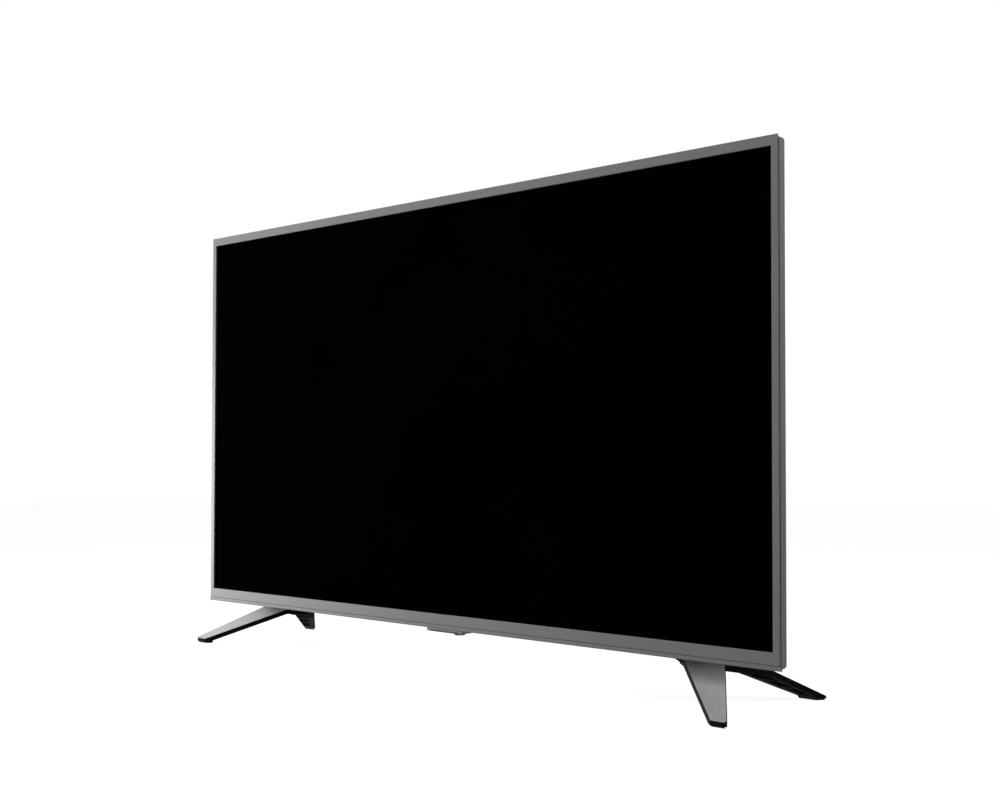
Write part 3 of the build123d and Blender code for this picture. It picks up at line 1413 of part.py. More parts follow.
def leg_strip(leg, near, far, inner_margin, outer_margin):
    """Corners in plan of a stretch of one leg, these margins in from its edges."""
    side, reach, fall, toe_top, inner, outer = leg
    corners = [(apex_inner + (inner - apex_inner) * back / reach + inner_margin, side * back)
               for back in (near, far)]
    corners += [(apex_outer + (outer - apex_outer) * back / reach - outer_margin, side * back)
                for back in (far, near)]
    return corners


def under_at(leg, height):
    """Distance from the apex line at which a leg's sloping underside is this far above the floor."""
    side, reach, fall, toe_top, inner, outer = leg
    return reach - (height + leg_thick - toe_top) / fall


def cell_spans(leg):
    """Near and far ends of the cells under a leg."""
    side, reach, fall, toe_top, inner, outer = leg
    run = (reach - pad_length - cell_end_gap - cell_start + cell_rib) / cell_count
    return [(cell_start + i * run, cell_start + (i + 1) * run - cell_rib) for i in range(cell_count)]


with BuildPart() as foot_plate_right:
    with BuildSketch(plan) as plate_plan:
        Polygon(*leg_strip(front_leg, plate_start, plate_end, plate_margin, plate_margin), align=None)
        fillet(plate_plan.vertices().group_by(Axis.Y)[0], plate_round)
    extrude(amount=foot_seat)
    with BuildSketch(profile):
        Polygon((-front_reach, leg_top(front_leg, front_reach)), (0, leg_top(front_leg, 0)),
                (0, leg_top(front_leg, 0) - plate_thick),
                (-front_reach, leg_top(front_leg, front_reach) - plate_thick), align=None)
    extrude(amount=frame_width, mode=Mode.INTERSECT)
foot_plate_right.part.label = "foot_plate_right"
export_step(foot_plate_right.part, "parts/foot_plate_right.step")

with BuildPart() as foot_plate_left:
    mirror(foot_plate_right.part, about=Plane.YZ)
foot_plate_left.part.label = "foot_plate_left"
export_step(foot_plate_left.part, "parts/foot_plate_left.step")

with BuildPart() as leg_cells:
    with BuildSketch(plan):
        for leg in (front_leg, rear_leg):
            for near, far in cell_spans(leg):
                Polygon(*leg_strip(leg, near, far, cell_inner_wall, cell_outer_wall), align=None)
    extrude(amount=foot_seat)
    with BuildSketch(profile):
        Polygon((-front_reach, leg_top(front_leg, front_reach) - cell_skin),
                (0, min(leg_top(front_leg, 0), leg_top(rear_leg, 0)) - cell_skin),
                (rear_reach, leg_top(rear_leg, rear_reach) - cell_skin), (rear_reach, 0), (-front_reach, 0),
                align=None)
    extrude(amount=frame_width, mode=Mode.INTERSECT)

foot_screw_low = apex_under + foot_sink - floor_gap
with BuildPart() as foot_right:
    with BuildSketch(plan) as foot_plan:
        Polygon((apex_inner, 0), (front_toe_inner, -front_reach), (front_toe_outer, -front_reach),
                (apex_outer, 0), (rear_toe_outer, rear_reach), (rear_toe_inner, rear_reach), align=None)
        fillet(foot_plan.vertices().group_by(Axis.Y)[0], toe_round)
        fillet(foot_plan.vertices().group_by(Axis.Y)[-1], toe_round)
        fillet(foot_plan.vertices().sort_by(Axis.X)[0], apex_round)
        fillet(foot_plan.vertices().sort_by_distance((apex_outer, apex_back))[0], crotch_round)
    extrude(amount=foot_seat)
    with BuildSketch(profile):
        Polygon((-front_reach, leg_top(front_leg, front_reach)), (0, leg_top(front_leg, 0)),
                (rear_reach, leg_top(rear_leg, rear_reach)), (rear_reach, toe_clear),
                (under_at(rear_leg, toe_clear), toe_clear),
                (heel_end, leg_top(rear_leg, heel_end) - leg_thick), (heel_start, heel_low),
                (under_at(rear_leg, apex_under), apex_under), (-under_at(front_leg, apex_under), apex_under),
                (-under_at(front_leg, toe_clear), toe_clear), (-front_reach, toe_clear), align=None)
    extrude(amount=frame_width, mode=Mode.INTERSECT)
    with BuildSketch(Plane(origin=(0, apex_back - neck_front, 0), x_dir=(1, 0, 0), z_dir=(0, -1, 0))):
        with BuildLine():
            Polyline((neck_arc_start, foot_seat - neck_flange), (neck_inner, foot_seat - neck_flange),
                     (neck_inner, foot_seat), (neck_outer, foot_seat),
                     (neck_outer, foot_seat - neck_shoulder), (neck_foot_outer, apex_under),
                     (neck_arc_end, apex_under))
            TangentArc((neck_arc_start, foot_seat - neck_flange), (neck_arc_end, apex_under), tangent=(1, 0))
        make_face()
    extrude(amount=-(neck_front + neck_rear))
    add(foot_plate_right.part, mode=Mode.SUBTRACT)
    add(leg_cells.part, mode=Mode.SUBTRACT)
    uprights(foot_screw_places, foot_screw_low - foot_sink - cut_over, foot_head_radius + foot_head_gap,
             foot_sink + cut_over, Mode.SUBTRACT)
    uprights(foot_screw_places, foot_screw_low - cut_over, foot_screw_slip,
             bulge_bottom - foot_screw_low + 2 * cut_over, Mode.SUBTRACT)
foot_right.part.label = "foot_right"
export_step(foot_right.part, "parts/foot_right.step")

with BuildPart() as foot_left:
    mirror(foot_right.part, about=Plane.YZ)
foot_left.part.label = "foot_left"
export_step(foot_left.part, "parts/foot_left.step")

with BuildPart() as foot_pads:
    with BuildSketch(plan):
        for leg in (front_leg, rear_leg):
            side, reach, fall, toe_top, inner, outer = leg
            Polygon(*leg_strip(leg, reach - pad_length - rear_pad_extra, reach - pad_end_inset, pad_margin,
                               pad_margin), align=None)
    extrude(amount=foot_seat)
    with BuildSketch(profile):
        for leg, extra in ((front_leg, 0), (rear_leg, rear_pad_extra)):
            side, reach, fall, toe_top, inner, outer = leg
            start = reach - pad_length - extra
            Polygon((side * start, leg_top(leg, start) - leg_thick),
                    (side * under_at(leg, toe_clear), toe_clear),
                    (side * (reach - pad_end_inset), toe_clear),
                    (side * (reach - sole_end_inset), 0), (side * (reach - sole_start_inset - extra), 0),
                    align=None)
    extrude(amount=frame_width, mode=Mode.INTERSECT)
    mirror(about=Plane.YZ)
foot_pads.part.label = "foot_pads"
export_step(foot_pads.part, "parts/foot_pads.step")

with BuildPart() as foot_screws:
    uprights(foot_screw_places, foot_screw_low - foot_head_thick, foot_head_radius, foot_head_thick)
    uprights(foot_screw_places, foot_screw_low, foot_screw_radius,
             bracket_low + bracket_thick + foot_screw_over - foot_screw_low)
foot_screws.part.label = "foot_screws"
export_step(foot_screws.part, "parts/foot_screws.step")

# Cables between the boards: straight runs joined by arcs as large as the runs allow.
# Each route is a list of points across, behind the frame's face and above its underside.
bend_share = 0.45
harness_radius = 2.4
wire_radius = 1.2
harness_route = [(125.0, 43.0, 215.0), (106.0, 43.0, 215.0), (80.0, 33.6, 204.0), (10.0, 33.6, 198.0),
                 (-70.0, 33.6, 201.0), (-112.0, 33.6, 209.0), (-136.0, 43.0, 215.0), (-152.0, 43.0, 215.0)]
right_speaker_route = [(-165.0, 41.6, 66.0), (-150.0, 41.6, 66.0), (-128.0, 44.0, 57.5), (-40.0, 44.5, 56.0),
                       (60.0, 44.0, 57.0), (118.0, 44.5, 55.0), (136.0, 46.5, 41.0), (150.0, 46.5, 41.0)]
left_speaker_route = [(-179.0, 41.6, 66.0), (-192.0, 41.6, 66.0), (-206.0, 47.5, 63.0), (-206.0, 47.5, 53.0)]
light_feed_route = [(109.0, 32.6, 236.0), (113.5, 32.6, 236.0), (119.0, 41.4, 240.0), (125.0, 41.4, 240.0)]
sensor_lead_route = [(0.0, 55.4, 19.8), (0.0, 55.4, 32.0), (-32.0, 50.0, 48.0), (-92.0, 47.0, 62.0),
                     (-130.0, 46.0, 100.0), (-134.0, 44.0, 160.0), (-140.0, 41.4, 186.0),
                     (-152.0, 41.4, 186.0)]
wireless_lead_route = [(-22.0, 40.2, 166.0), (-36.0, 40.2, 166.0), (-62.0, 33.0, 174.0),
                       (-114.0, 33.0, 177.0), (-138.0, 41.4, 172.0), (-152.0, 41.4, 172.0)]


def cable(points, radius):
    """Round cable through a route's points."""
    spots = [Vector(across, at_depth(depth), at_height(height)) for across, depth, height in points]
    radii = []
    for before, corner, after in zip(spots, spots[1:], spots[2:]):
        turn = (corner - before).get_angle(after - corner)
        run = min((corner - before).length, (after - corner).length)
        radii.append(bend_share * run / tan(radians(turn) / 2))
    with BuildLine() as route:
        FilletPolyline(*spots, radius=radii)
    with BuildSketch(Plane(route.line @ 0, z_dir=route.line % 0)) as section:
        Circle(radius)
    sweep(section.sketch, path=route.line)


with BuildPart() as power_harness:
    cable(harness_route, harness_radius)
power_harness.part.label = "power_harness"
export_step(power_harness.part, "parts/power_harness.step")

with BuildPart() as speaker_wires:
    cable(right_speaker_route, wire_radius)
    cable(left_speaker_route, wire_radius)
speaker_wires.part.label = "speaker_wires"
export_step(speaker_wires.part, "parts/speaker_wires.step")

with BuildPart() as board_wires:
    for lead in (light_feed_route, sensor_lead_route, wireless_lead_route):
        cable(lead, wire_radius)
board_wires.part.label = "board_wires"
export_step(board_wires.part, "parts/board_wires.step")
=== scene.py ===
import math

import bpy
from mathutils import Matrix, Vector


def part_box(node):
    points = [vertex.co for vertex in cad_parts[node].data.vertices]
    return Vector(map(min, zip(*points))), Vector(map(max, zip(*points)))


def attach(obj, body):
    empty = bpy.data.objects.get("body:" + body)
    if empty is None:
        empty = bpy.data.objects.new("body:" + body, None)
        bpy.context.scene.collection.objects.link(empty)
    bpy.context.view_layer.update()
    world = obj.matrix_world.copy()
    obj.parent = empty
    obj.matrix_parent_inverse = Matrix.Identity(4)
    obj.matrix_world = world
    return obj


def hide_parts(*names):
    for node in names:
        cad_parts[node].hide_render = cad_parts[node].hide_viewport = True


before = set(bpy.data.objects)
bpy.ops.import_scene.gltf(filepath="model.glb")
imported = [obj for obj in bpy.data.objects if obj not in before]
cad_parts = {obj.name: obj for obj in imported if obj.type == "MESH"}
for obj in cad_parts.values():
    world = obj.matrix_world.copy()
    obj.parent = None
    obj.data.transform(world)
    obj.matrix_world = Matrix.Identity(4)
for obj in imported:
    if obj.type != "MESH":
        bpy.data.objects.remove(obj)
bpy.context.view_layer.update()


# The eye stands in front of the set, well past its right end and a little lower than the
# screen's middle, and looks slightly up. The picture is shifted, so the set sits in its middle.
eye_place = (1.12588, -1.29420, 0.28105)
eye_line = Vector((-0.6795, 0.7332, 0.0260))
eye_roll = -0.003
eye = bpy.data.cameras.new("eye")
eye.lens = 45.43
eye.sensor_width = 36.0
eye.shift_x = 0.070
eye.shift_y = 0.0261
eye.clip_start = 0.01
eye_stand = bpy.data.objects.new("eye", eye)
eye_stand.location = eye_place
level_eye = eye_line.to_track_quat("-Z", "Y").to_matrix().to_4x4()
eye_stand.rotation_euler = (Matrix.Rotation(eye_roll, 4, eye_line) @ level_eye).to_euler()
bpy.context.scene.collection.objects.link(eye_stand)
bpy.context.scene.camera = eye_stand
bpy.context.scene.view_settings.view_transform = "Standard"


# The lamps: a soft one beside the left end, which makes the front grow darker to the right, a
# wide one overhead for the feet, and a weak one behind the right end for the shell's side.
def hang_lamp(name, place, aim, width, watts):
    lamp = bpy.data.lights.new(name, "AREA")
    lamp.size = width
    lamp.energy = watts
    held = bpy.data.objects.new(name, lamp)
    held.location = place
    held.rotation_euler = (Vector(aim) - Vector(place)).to_track_quat("-Z", "Y").to_euler()
    bpy.context.scene.collection.objects.link(held)


hang_lamp("left_lamp", place=(-1.30, -0.66, 0.22), aim=(-0.45, 0.0, 0.32), width=0.5, watts=21.0)
hang_lamp("top_lamp", place=(0.3, -0.9, 2.0), aim=(0.2, -0.1, 0.1), width=1.8, watts=14.0)
hang_lamp("right_lamp", place=(1.9, 0.9, 0.9), aim=(0.49, 0.0, 0.3), width=0.8, watts=11.5)


# The room: even white all round, which the eye, gloss and glass see in full, and a gentler
# light from every side for the rest.
room_light = 0.22
seen_light = 1.0
white = (1.0, 1.0, 1.0, 1.0)
room = bpy.data.worlds.new("room")
room.use_nodes = True
air = room.node_tree.nodes["Background"]
air.inputs["Color"].default_value = white


def seen_plainly(tree):
    """One for rays from the eye, off gloss and through glass, zero for the light's own rays."""
    rays = tree.nodes.new("ShaderNodeLightPath")
    seen = rays.outputs["Is Camera Ray"]
    for kind in ("Is Glossy Ray", "Is Transmission Ray"):
        either = tree.nodes.new("ShaderNodeMath")
        either.operation = "MAXIMUM"
        tree.links.new(seen, either.inputs[0])
        tree.links.new(rays.outputs[kind], either.inputs[1])
        seen = either.outputs[0]
    return seen


level = room.node_tree.nodes.new("ShaderNodeMapRange")
room.node_tree.links.new(seen_plainly(room.node_tree), level.inputs["Value"])
level.inputs["To Min"].default_value = room_light
level.inputs["To Max"].default_value = seen_light
room.node_tree.links.new(level.outputs["Result"], air.inputs["Strength"])
bpy.context.scene.world = room


# The floor is one wide pale sheet under the feet. It looks as white as the room and still
# takes the soft shadow of the set. From below it can be seen through.
floor_reach = 6.0
sheet_level = 0.20
shade_level = 0.34
floor_glow = 0.90
floor_mesh = bpy.data.meshes.new("floor")
floor_mesh.from_pydata([(-floor_reach, -floor_reach, 0), (floor_reach, -floor_reach, 0),
                        (floor_reach, floor_reach, 0), (-floor_reach, floor_reach, 0)],
                       [], [(0, 1, 2, 3)])
floor = bpy.data.objects.new("floor", floor_mesh)
bpy.context.scene.collection.objects.link(floor)
pale = bpy.data.materials.new("pale_floor")
pale.use_nodes = True
tree = pale.node_tree
tree.nodes.clear()


def matt_sheet(level):
    sheet = tree.nodes.new("ShaderNodeBsdfDiffuse")
    sheet.inputs["Color"].default_value = (level, level, level, 1.0)
    return sheet.outputs[0]


glow = tree.nodes.new("ShaderNodeEmission")
glow.inputs["Color"].default_value = white
glow.inputs["Strength"].default_value = floor_glow
both = tree.nodes.new("ShaderNodeAddShader")
tree.links.new(matt_sheet(shade_level), both.inputs[0])
tree.links.new(glow.outputs[0], both.inputs[1])
pick = tree.nodes.new("ShaderNodeMixShader")
tree.links.new(seen_plainly(tree), pick.inputs[0])
tree.links.new(matt_sheet(sheet_level), pick.inputs[1])
tree.links.new(both.outputs[0], pick.inputs[2])
side = tree.nodes.new("ShaderNodeNewGeometry")
from_below = tree.nodes.new("ShaderNodeMixShader")
tree.links.new(side.outputs["Backfacing"], from_below.inputs[0])
tree.links.new(pick.outputs[0], from_below.inputs[1])
tree.links.new(tree.nodes.new("ShaderNodeBsdfTransparent").outputs[0], from_below.inputs[2])
sink = tree.nodes.new("ShaderNodeOutputMaterial")
tree.links.new(from_below.outputs[0], sink.inputs["Surface"])
floor_mesh.materials.append(pale)


# Front frame and the strip along its foot: moulded in one grey, sprayed with a metal-flake
# lacquer and drawn through fine abrasive, so it has faint streaks along its length. A little
# behind the front face the colour turns dark grey, on the edges, the sides and the opening's lip.
def grey(level):
    """The colour of a grey that reads as this level, 0 to 255, on a screen."""
    value = ((level / 255 + 0.055) / 1.055) ** 2.4
    return (value, value, value, 1.0)


def paint(red, green, blue):
    return tuple(grey(level)[0] for level in (red, green, blue)) + (1.0,)


def finish(name, **sockets):
    made = bpy.data.materials.new(name)
    made.use_nodes = True
    shader = made.node_tree.nodes["Principled BSDF"]
    for socket, value in sockets.items():
        shader.inputs[socket.replace("_", " ")].default_value = value
    return made


def fill(tree, node, modes, inputs):
    """Set a node's modes and inputs. An input that is a socket is linked, any other is a value."""
    for mode, value in (modes or {}).items():
        setattr(node, mode, value)
    for name, value in inputs.items():
        socket = node.inputs[int(name[1:])] if name[0] == "_" else node.inputs[name.replace("_", " ")]
        if isinstance(value, bpy.types.NodeSocket):
            tree.links.new(value, socket)
        else:
            socket.default_value = value
    return node


def put(made, kind, modes=None, **inputs):
    return fill(made.node_tree, made.node_tree.nodes.new("ShaderNode" + kind), modes, inputs)


def surface(made, colour, rough, bumps=None):
    """Give a finish its colour, its roughness and, where it has one, its relief."""
    shader = made.node_tree.nodes["Principled BSDF"]
    for source, socket in ((colour, "Base Color"), (rough, "Roughness"), (bumps, "Normal")):
        if source:
            made.node_tree.links.new(source, shader.inputs[socket])


def whereabouts(made, size=1.0, turn=(0, 0, 0)):
    """Place on the set in units of this size, which is one length or three along X, Y and Z."""
    sizes = size if isinstance(size, tuple) else (size, size, size)
    place = put(made, "TexCoord").outputs["Object"]
    return put(made, "Mapping", {"vector_type": "TEXTURE"}, Vector=place, Rotation=turn,
               Scale=sizes).outputs["Vector"]


def grain(made, size, turn=(0, 0, 0), detail=2.0):
    """Soft random grain whose grains have this size, one length or three, in metres."""
    return put(made, "TexNoise", Vector=whereabouts(made, size, turn), Scale=1.0,
               Detail=detail).outputs["Fac"]


def shades(made, source, dark, light, low=0.3, high=0.7):
    ramp = put(made, "ValToRGB", Fac=source)
    ramp.color_ramp.elements[0].position = low
    ramp.color_ramp.elements[1].position = high
    ramp.color_ramp.elements[0].color = dark
    ramp.color_ramp.elements[1].color = light
    return ramp.outputs["Color"]


def spread(made, source, low, high, start=0.3, end=0.7):
    return put(made, "MapRange", Value=source, From_Min=start, From_Max=end, To_Min=low,
               To_Max=high).outputs["Result"]


def relief(made, source, depth, strength, under=None):
    bump = put(made, "Bump", Height=source, Distance=depth, Strength=strength)
    if under:
        made.node_tree.links.new(under, bump.inputs["Normal"])
    return bump.outputs["Normal"]


def blend_of(made, share, first, second):
    mixed = put(made, "Mix", {"data_type": "RGBA"}, _0=share, _6=first, _7=second)
    return mixed.outputs[2]


def sums(made, first, second, work="ADD"):
    return put(made, "Math", {"operation": work}, _0=first, _1=second).outputs[0]


def dress(made, *nodes):
    for name in nodes:
        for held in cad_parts[name].material_slots:
            held.material = made


front_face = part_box("front_bezel")[0][1]
dark_start_depth = 0.0011
dark_full_depth = 0.0017
streak_size = (0.060, 0.00025, 0.00025)
cloud_size = (0.10, 0.10, 0.05)
cloud_share = 0.25
flake_size = 0.0003
brushed = finish("brushed_grey", Specular_IOR_Level=0.12, Anisotropic=0.4)
streaks = grain(brushed, streak_size, detail=3.0)
clouds = grain(brushed, cloud_size)
flake = grain(brushed, flake_size, detail=1.0)
streaked = shades(brushed, sums(brushed, streaks, sums(brushed, clouds, cloud_share, "MULTIPLY")),
                  dark=grey(132), light=grey(144), low=0.4, high=0.85)
# Between these two depths behind the front face the frame's colour blends to a dark grey.
depth = put(brushed, "SeparateXYZ", Vector=put(brushed, "TexCoord").outputs["Object"]).outputs["Y"]
behind = put(brushed, "MapRange", Value=depth, From_Min=front_face + dark_start_depth,
             From_Max=front_face + dark_full_depth).outputs["Result"]
surface(brushed,
        blend_of(brushed, behind, streaked, grey(38)),
        spread(brushed, streaks, low=0.34, high=0.48),
        relief(brushed, flake, depth=0.00002, strength=0.3,
               under=relief(brushed, streaks, depth=0.00003, strength=0.5)))
dress(brushed, "front_bezel", "bottom_trim")


# Frame behind the front: black glass-filled plastic that holds the screen's edges and shows
# only as the dark groove between the front frame and the shell.
pit_size = 0.0005
tone_size = 0.03
satin_black = finish("satin_black", Specular_IOR_Level=0.1)
pits = grain(satin_black, pit_size, detail=3.0)
surface(satin_black,
        shades(satin_black, grain(satin_black, tone_size), dark=grey(8), light=grey(12)),
        spread(satin_black, pits, low=0.42, high=0.6),
        relief(satin_black, pits, depth=0.00004, strength=0.6))
dress(satin_black, "mid_frame")


# Rear shell: one large moulding in dark grey, its outside spark-textured to a fine even grain
# and slightly polished where hands hold it.
spark_size = 0.00045
rub_size = 0.12
shell_grey = finish("shell_grey", Specular_IOR_Level=0.35)
spark = grain(shell_grey, spark_size, detail=4.0)
rubbed = grain(shell_grey, rub_size, detail=3.0)
surface(shell_grey,
        blend_of(shell_grey, spread(shell_grey, spark, low=0.0, high=0.35),
                 shades(shell_grey, rubbed, dark=grey(86), light=grey(96)), grey(60)),
        sums(shell_grey, spread(shell_grey, spark, low=0.0, high=0.12),
             spread(shell_grey, rubbed, low=0.42, high=0.54)),
        relief(shell_grey, spark, depth=0.00007, strength=0.8))
dress(shell_grey, "rear_cover")


# Sensor hood under the middle of the front: a small grey moulding, with a smoked window along
# its lower edge that lets the remote's light and the lamp's glow through.
hood_grain_size = 0.0004
hood_tone_size = (0.02, 0.02, 0.01)
hood_grey = finish("hood_grey", Metallic=0.25, Specular_IOR_Level=0.4)
hood_grain = grain(hood_grey, hood_grain_size, detail=3.0)
surface(hood_grey,
        shades(hood_grey, grain(hood_grey, hood_tone_size), dark=grey(120), light=grey(130)),
        spread(hood_grey, hood_grain, low=0.36, high=0.5),
        relief(hood_grey, hood_grain, depth=0.00003, strength=0.5))
dress(hood_grey, "sensor_hood")

haze_size = 0.004
smoked = finish("smoked_window", Specular_IOR_Level=0.4, Coat_Weight=0.15)
haze = grain(smoked, haze_size)
surface(smoked,
        shades(smoked, haze, dark=paint(12, 8, 10), light=paint(22, 12, 14)),
        spread(smoked, haze, low=0.08, high=0.18))
dress(smoked, "sensor_window")


# Control behind the hood's right end: a stubby round stick that tilts four ways on a ring and
# a yoke and clicks when pressed, moulded in a half-gloss black, in a matt housing.
skin_size = 0.0008
stick_black = finish("stick_black", Specular_IOR_Level=0.35)
skin = grain(stick_black, skin_size)
surface(stick_black,
        shades(stick_black, skin, dark=grey(14), light=grey(20)),
        spread(stick_black, skin, low=0.24, high=0.36),
        relief(stick_black, skin, depth=0.00002, strength=0.4))
dress(stick_black, "control_knob", "control_ring", "control_yoke")
dress(satin_black, "control_housing")


# Screen: a glass cell under a black polarising film whose matt coat swallows the room, so it
# looks black from every side when it is off.
coat_size = 0.0002
depth_tone_size = 0.2
deep_black = (0.0004, 0.0004, 0.0005, 1)
pale_black = (0.0009, 0.0009, 0.0011, 1)
screen_black = finish("screen_black", Specular_IOR_Level=0.0)
coat = grain(screen_black, coat_size, detail=1.0)
surface(screen_black,
        shades(screen_black, grain(screen_black, depth_tone_size), dark=deep_black, light=pale_black),
        spread(screen_black, coat, low=0.22, high=0.3),
        relief(screen_black, coat, depth=0.000004, strength=0.3))
dress(screen_black, "lcd_cell")


# Feet: black glass-filled nylon, a long front leg and a steeper rear leg from one neck, with
# ribs under the outer half of each leg to keep it light. The mould leaves a fine dull grain.
nylon_size = 0.0006
leg_tone_size = 0.02
nylon_black = finish("nylon_black", Specular_IOR_Level=0.02)
nylon = grain(nylon_black, nylon_size, detail=3.0)
surface(nylon_black,
        shades(nylon_black, grain(nylon_black, leg_tone_size), dark=grey(19), light=grey(26)),
        spread(nylon_black, nylon, low=0.5, high=0.66),
        relief(nylon_black, nylon, depth=0.00004, strength=0.6))
dress(nylon_black, "foot_left", "foot_right")


# Silver plates let into the front legs: thin aluminium, brushed along the leg and cleared,
# with the brushing turned the other way on the left foot.
leg_turn = math.radians(38.0)
brushing_size = (0.00022, 0.030, 0.010)
plate_cloud_size = 0.03
plate_cloud_share = 0.3


def plate_silver(name, turn):
    made = finish(name, Metallic=0.15, Specular_IOR_Level=0.4, Anisotropic=0.5)
    drawn = grain(made, brushing_size, turn=(0, 0, turn), detail=3.0)
    cloudy = sums(made, grain(made, plate_cloud_size), plate_cloud_share, "MULTIPLY")
    surface(made,
            shades(made, sums(made, drawn, cloudy), dark=grey(182), light=grey(198), low=0.45, high=0.95),
            spread(made, drawn, low=0.3, high=0.44),
            relief(made, drawn, depth=0.00002, strength=0.4))
    return made


dress(plate_silver("silver_right", leg_turn), "foot_plate_right")
dress(plate_silver("silver_left", -leg_turn), "foot_plate_left")


# Toe pads: soft black rubber pressed into the legs' ends, matt and slightly dusty.
dust_size = 0.003
rubber_pit_size = 0.0004
rubber = finish("toe_rubber", Specular_IOR_Level=0.2, Sheen_Weight=0.05)
dust = grain(rubber, dust_size, detail=4.0)
surface(rubber,
        shades(rubber, dust, dark=grey(24), light=grey(36)),
        spread(rubber, dust, low=0.75, high=0.9),
        relief(rubber, grain(rubber, rubber_pit_size, detail=3.0), depth=0.00006, strength=0.7))
dress(rubber, "foot_pads")


# Pan, brackets and posts: zinc-coated steel, pressed and riveted, with the coat's pale
# spangle and faint rolling lines.
spangle_size = 0.012
rolling_size = (0.08, 0.0006, 0.0006)
zinc = finish("zinc_steel", Metallic=0.9)
spangle = put(zinc, "TexVoronoi", Vector=whereabouts(zinc, spangle_size), Scale=1.0).outputs["Color"]
spangled = put(zinc, "SeparateColor", Color=spangle).outputs[0]
rolled = grain(zinc, rolling_size)
surface(zinc,
        shades(zinc, spangled, dark=grey(158), light=grey(184), low=0.0, high=1.0),
        sums(zinc, spread(zinc, spangled, low=0.0, high=0.1, start=0.0, end=1.0),
             spread(zinc, rolled, low=0.3, high=0.42)),
        relief(zinc, rolled, depth=0.00003, strength=0.4))
dress(zinc, "chassis_pan", "stand_brackets", "wall_mount_posts")


# Sheets of the light path: white reflector and diffusers, a ridged clear film on top, all cut
# from rolls, so each is even with only a faint waviness.
wave_size = 0.08
sheen_size = 0.0005
sheen_range = 0.12
ridges_per_metre = 2500.0


def film(name, dark, light, rough, **sockets):
    made = finish(name, **sockets)
    wave = grain(made, wave_size)
    surface(made,
            shades(made, wave, dark, light),
            spread(made, grain(made, sheen_size), low=rough, high=rough + sheen_range),
            relief(made, wave, depth=0.0002, strength=0.2))
    return made


milky = film("milky_sheet", grey(226), grey(236), rough=0.5, Subsurface_Weight=0.1, Subsurface_Scale=0.002)
dress(milky, "diffuser_plate", "diffuser_sheet")
dress(film("white_reflector", grey(232), grey(242), rough=0.6), "reflector_sheet")
ridged = film("ridged_film", grey(205), grey(218), rough=0.12, Specular_IOR_Level=0.5)
ridges = put(ridged, "TexWave", {"bands_direction": "Z"}, Vector=whereabouts(ridged),
             Scale=ridges_per_metre).outputs["Fac"]
ridged.node_tree.links.new(relief(ridged, ridges, depth=0.00002, strength=0.5),
                           ridged.node_tree.nodes["Principled BSDF"].inputs["Normal"])
dress(ridged, "prism_sheet")
dress(film("amber_film", paint(150, 92, 30), paint(176, 112, 40), rough=0.25), "driver_films")


# Lamps behind the screen: long white-lacquered boards, each with a row of clear domed lenses
# over its lamps.
white_board = film("white_lacquer", grey(216), grey(226), rough=0.35)
dress(white_board, "led_bars")
lens_clear = film("lens_clear", grey(208), grey(222), rough=0.05, Transmission_Weight=0.8, IOR=1.49)
dress(lens_clear, "led_lenses")


# Circuit boards: glass fibre under green lacquer, with copper lines just showing through it
# and a coarser pattern on the power board.
fine_pitch = 0.0022
power_pitch = 0.0040
lacquer_size = 0.002
lines_per_hole = 5


def board_green(name, pitch):
    made = finish(name, Specular_IOR_Level=0.5)
    lines = put(made, "TexBrick", {"offset": 0.37, "squash": 0.7, "squash_frequency": 3},
                Vector=whereabouts(made, pitch, turn=(math.radians(90), 0, 0)), Scale=1.0,
                Color1=paint(16, 74, 40), Color2=paint(20, 84, 46), Mortar=paint(40, 112, 62),
                Mortar_Size=0.05, Brick_Width=4.2, Row_Height=0.9)
    holes = put(made, "TexVoronoi", {"feature": "DISTANCE_TO_EDGE"},
                Vector=whereabouts(made, pitch * lines_per_hole), Scale=1.0).outputs["Distance"]
    surface(made,
            blend_of(made, spread(made, holes, low=1.0, high=0.0, start=0.02, end=0.03),
                     lines.outputs["Color"], paint(34, 104, 58)),
            spread(made, grain(made, lacquer_size), low=0.25, high=0.38),
            relief(made, lines.outputs["Fac"], depth=0.00004, strength=0.6))
    return made


dress(board_green("main_board_green", fine_pitch), "main_board", "timing_board", "wireless_board",
      "sensor_board")
dress(board_green("power_board_green", power_pitch), "power_board", "source_boards")


# Heat sinks: extruded aluminium with drawn lines along the fins.
draw_size = (0.0004, 0.0004, 0.03)
drawn_aluminium = finish("drawn_aluminium", Metallic=0.95)
drawn = grain(drawn_aluminium, draw_size)
surface(drawn_aluminium,
        shades(drawn_aluminium, drawn, dark=grey(176), light=grey(198)),
        spread(drawn_aluminium, drawn, low=0.28, high=0.4),
        relief(drawn_aluminium, drawn, depth=0.00002, strength=0.5))
dress(drawn_aluminium, "main_heat_sink", "power_heat_sinks")


# Sockets: nickel-plated shells folded from sheet, and black bodies where nothing is shielded.
plating_size = 0.003
nickel_pit_size = 0.0004
nickel = finish("nickel_shell", Metallic=1.0)
plated = grain(nickel, plating_size, detail=3.0)
surface(nickel,
        shades(nickel, plated, dark=grey(176), light=grey(196)),
        spread(nickel, plated, low=0.18, high=0.32),
        relief(nickel, grain(nickel, nickel_pit_size), depth=0.00001, strength=0.4))
dress(nickel, "hdmi_sockets", "usb_sockets", "network_socket", "aerial_sockets")

matt_size = 0.0005
body_black = finish("socket_black", Specular_IOR_Level=0.35)
matted = grain(body_black, matt_size, detail=3.0)
surface(body_black,
        shades(body_black, matted, dark=grey(16), light=grey(24)),
        spread(body_black, matted, low=0.3, high=0.5),
        relief(body_black, matted, depth=0.00003, strength=0.5))
dress(body_black, "headphone_jack", "optical_socket", "mains_inlet", "rear_terminal_plate",
      "side_terminal_plate")


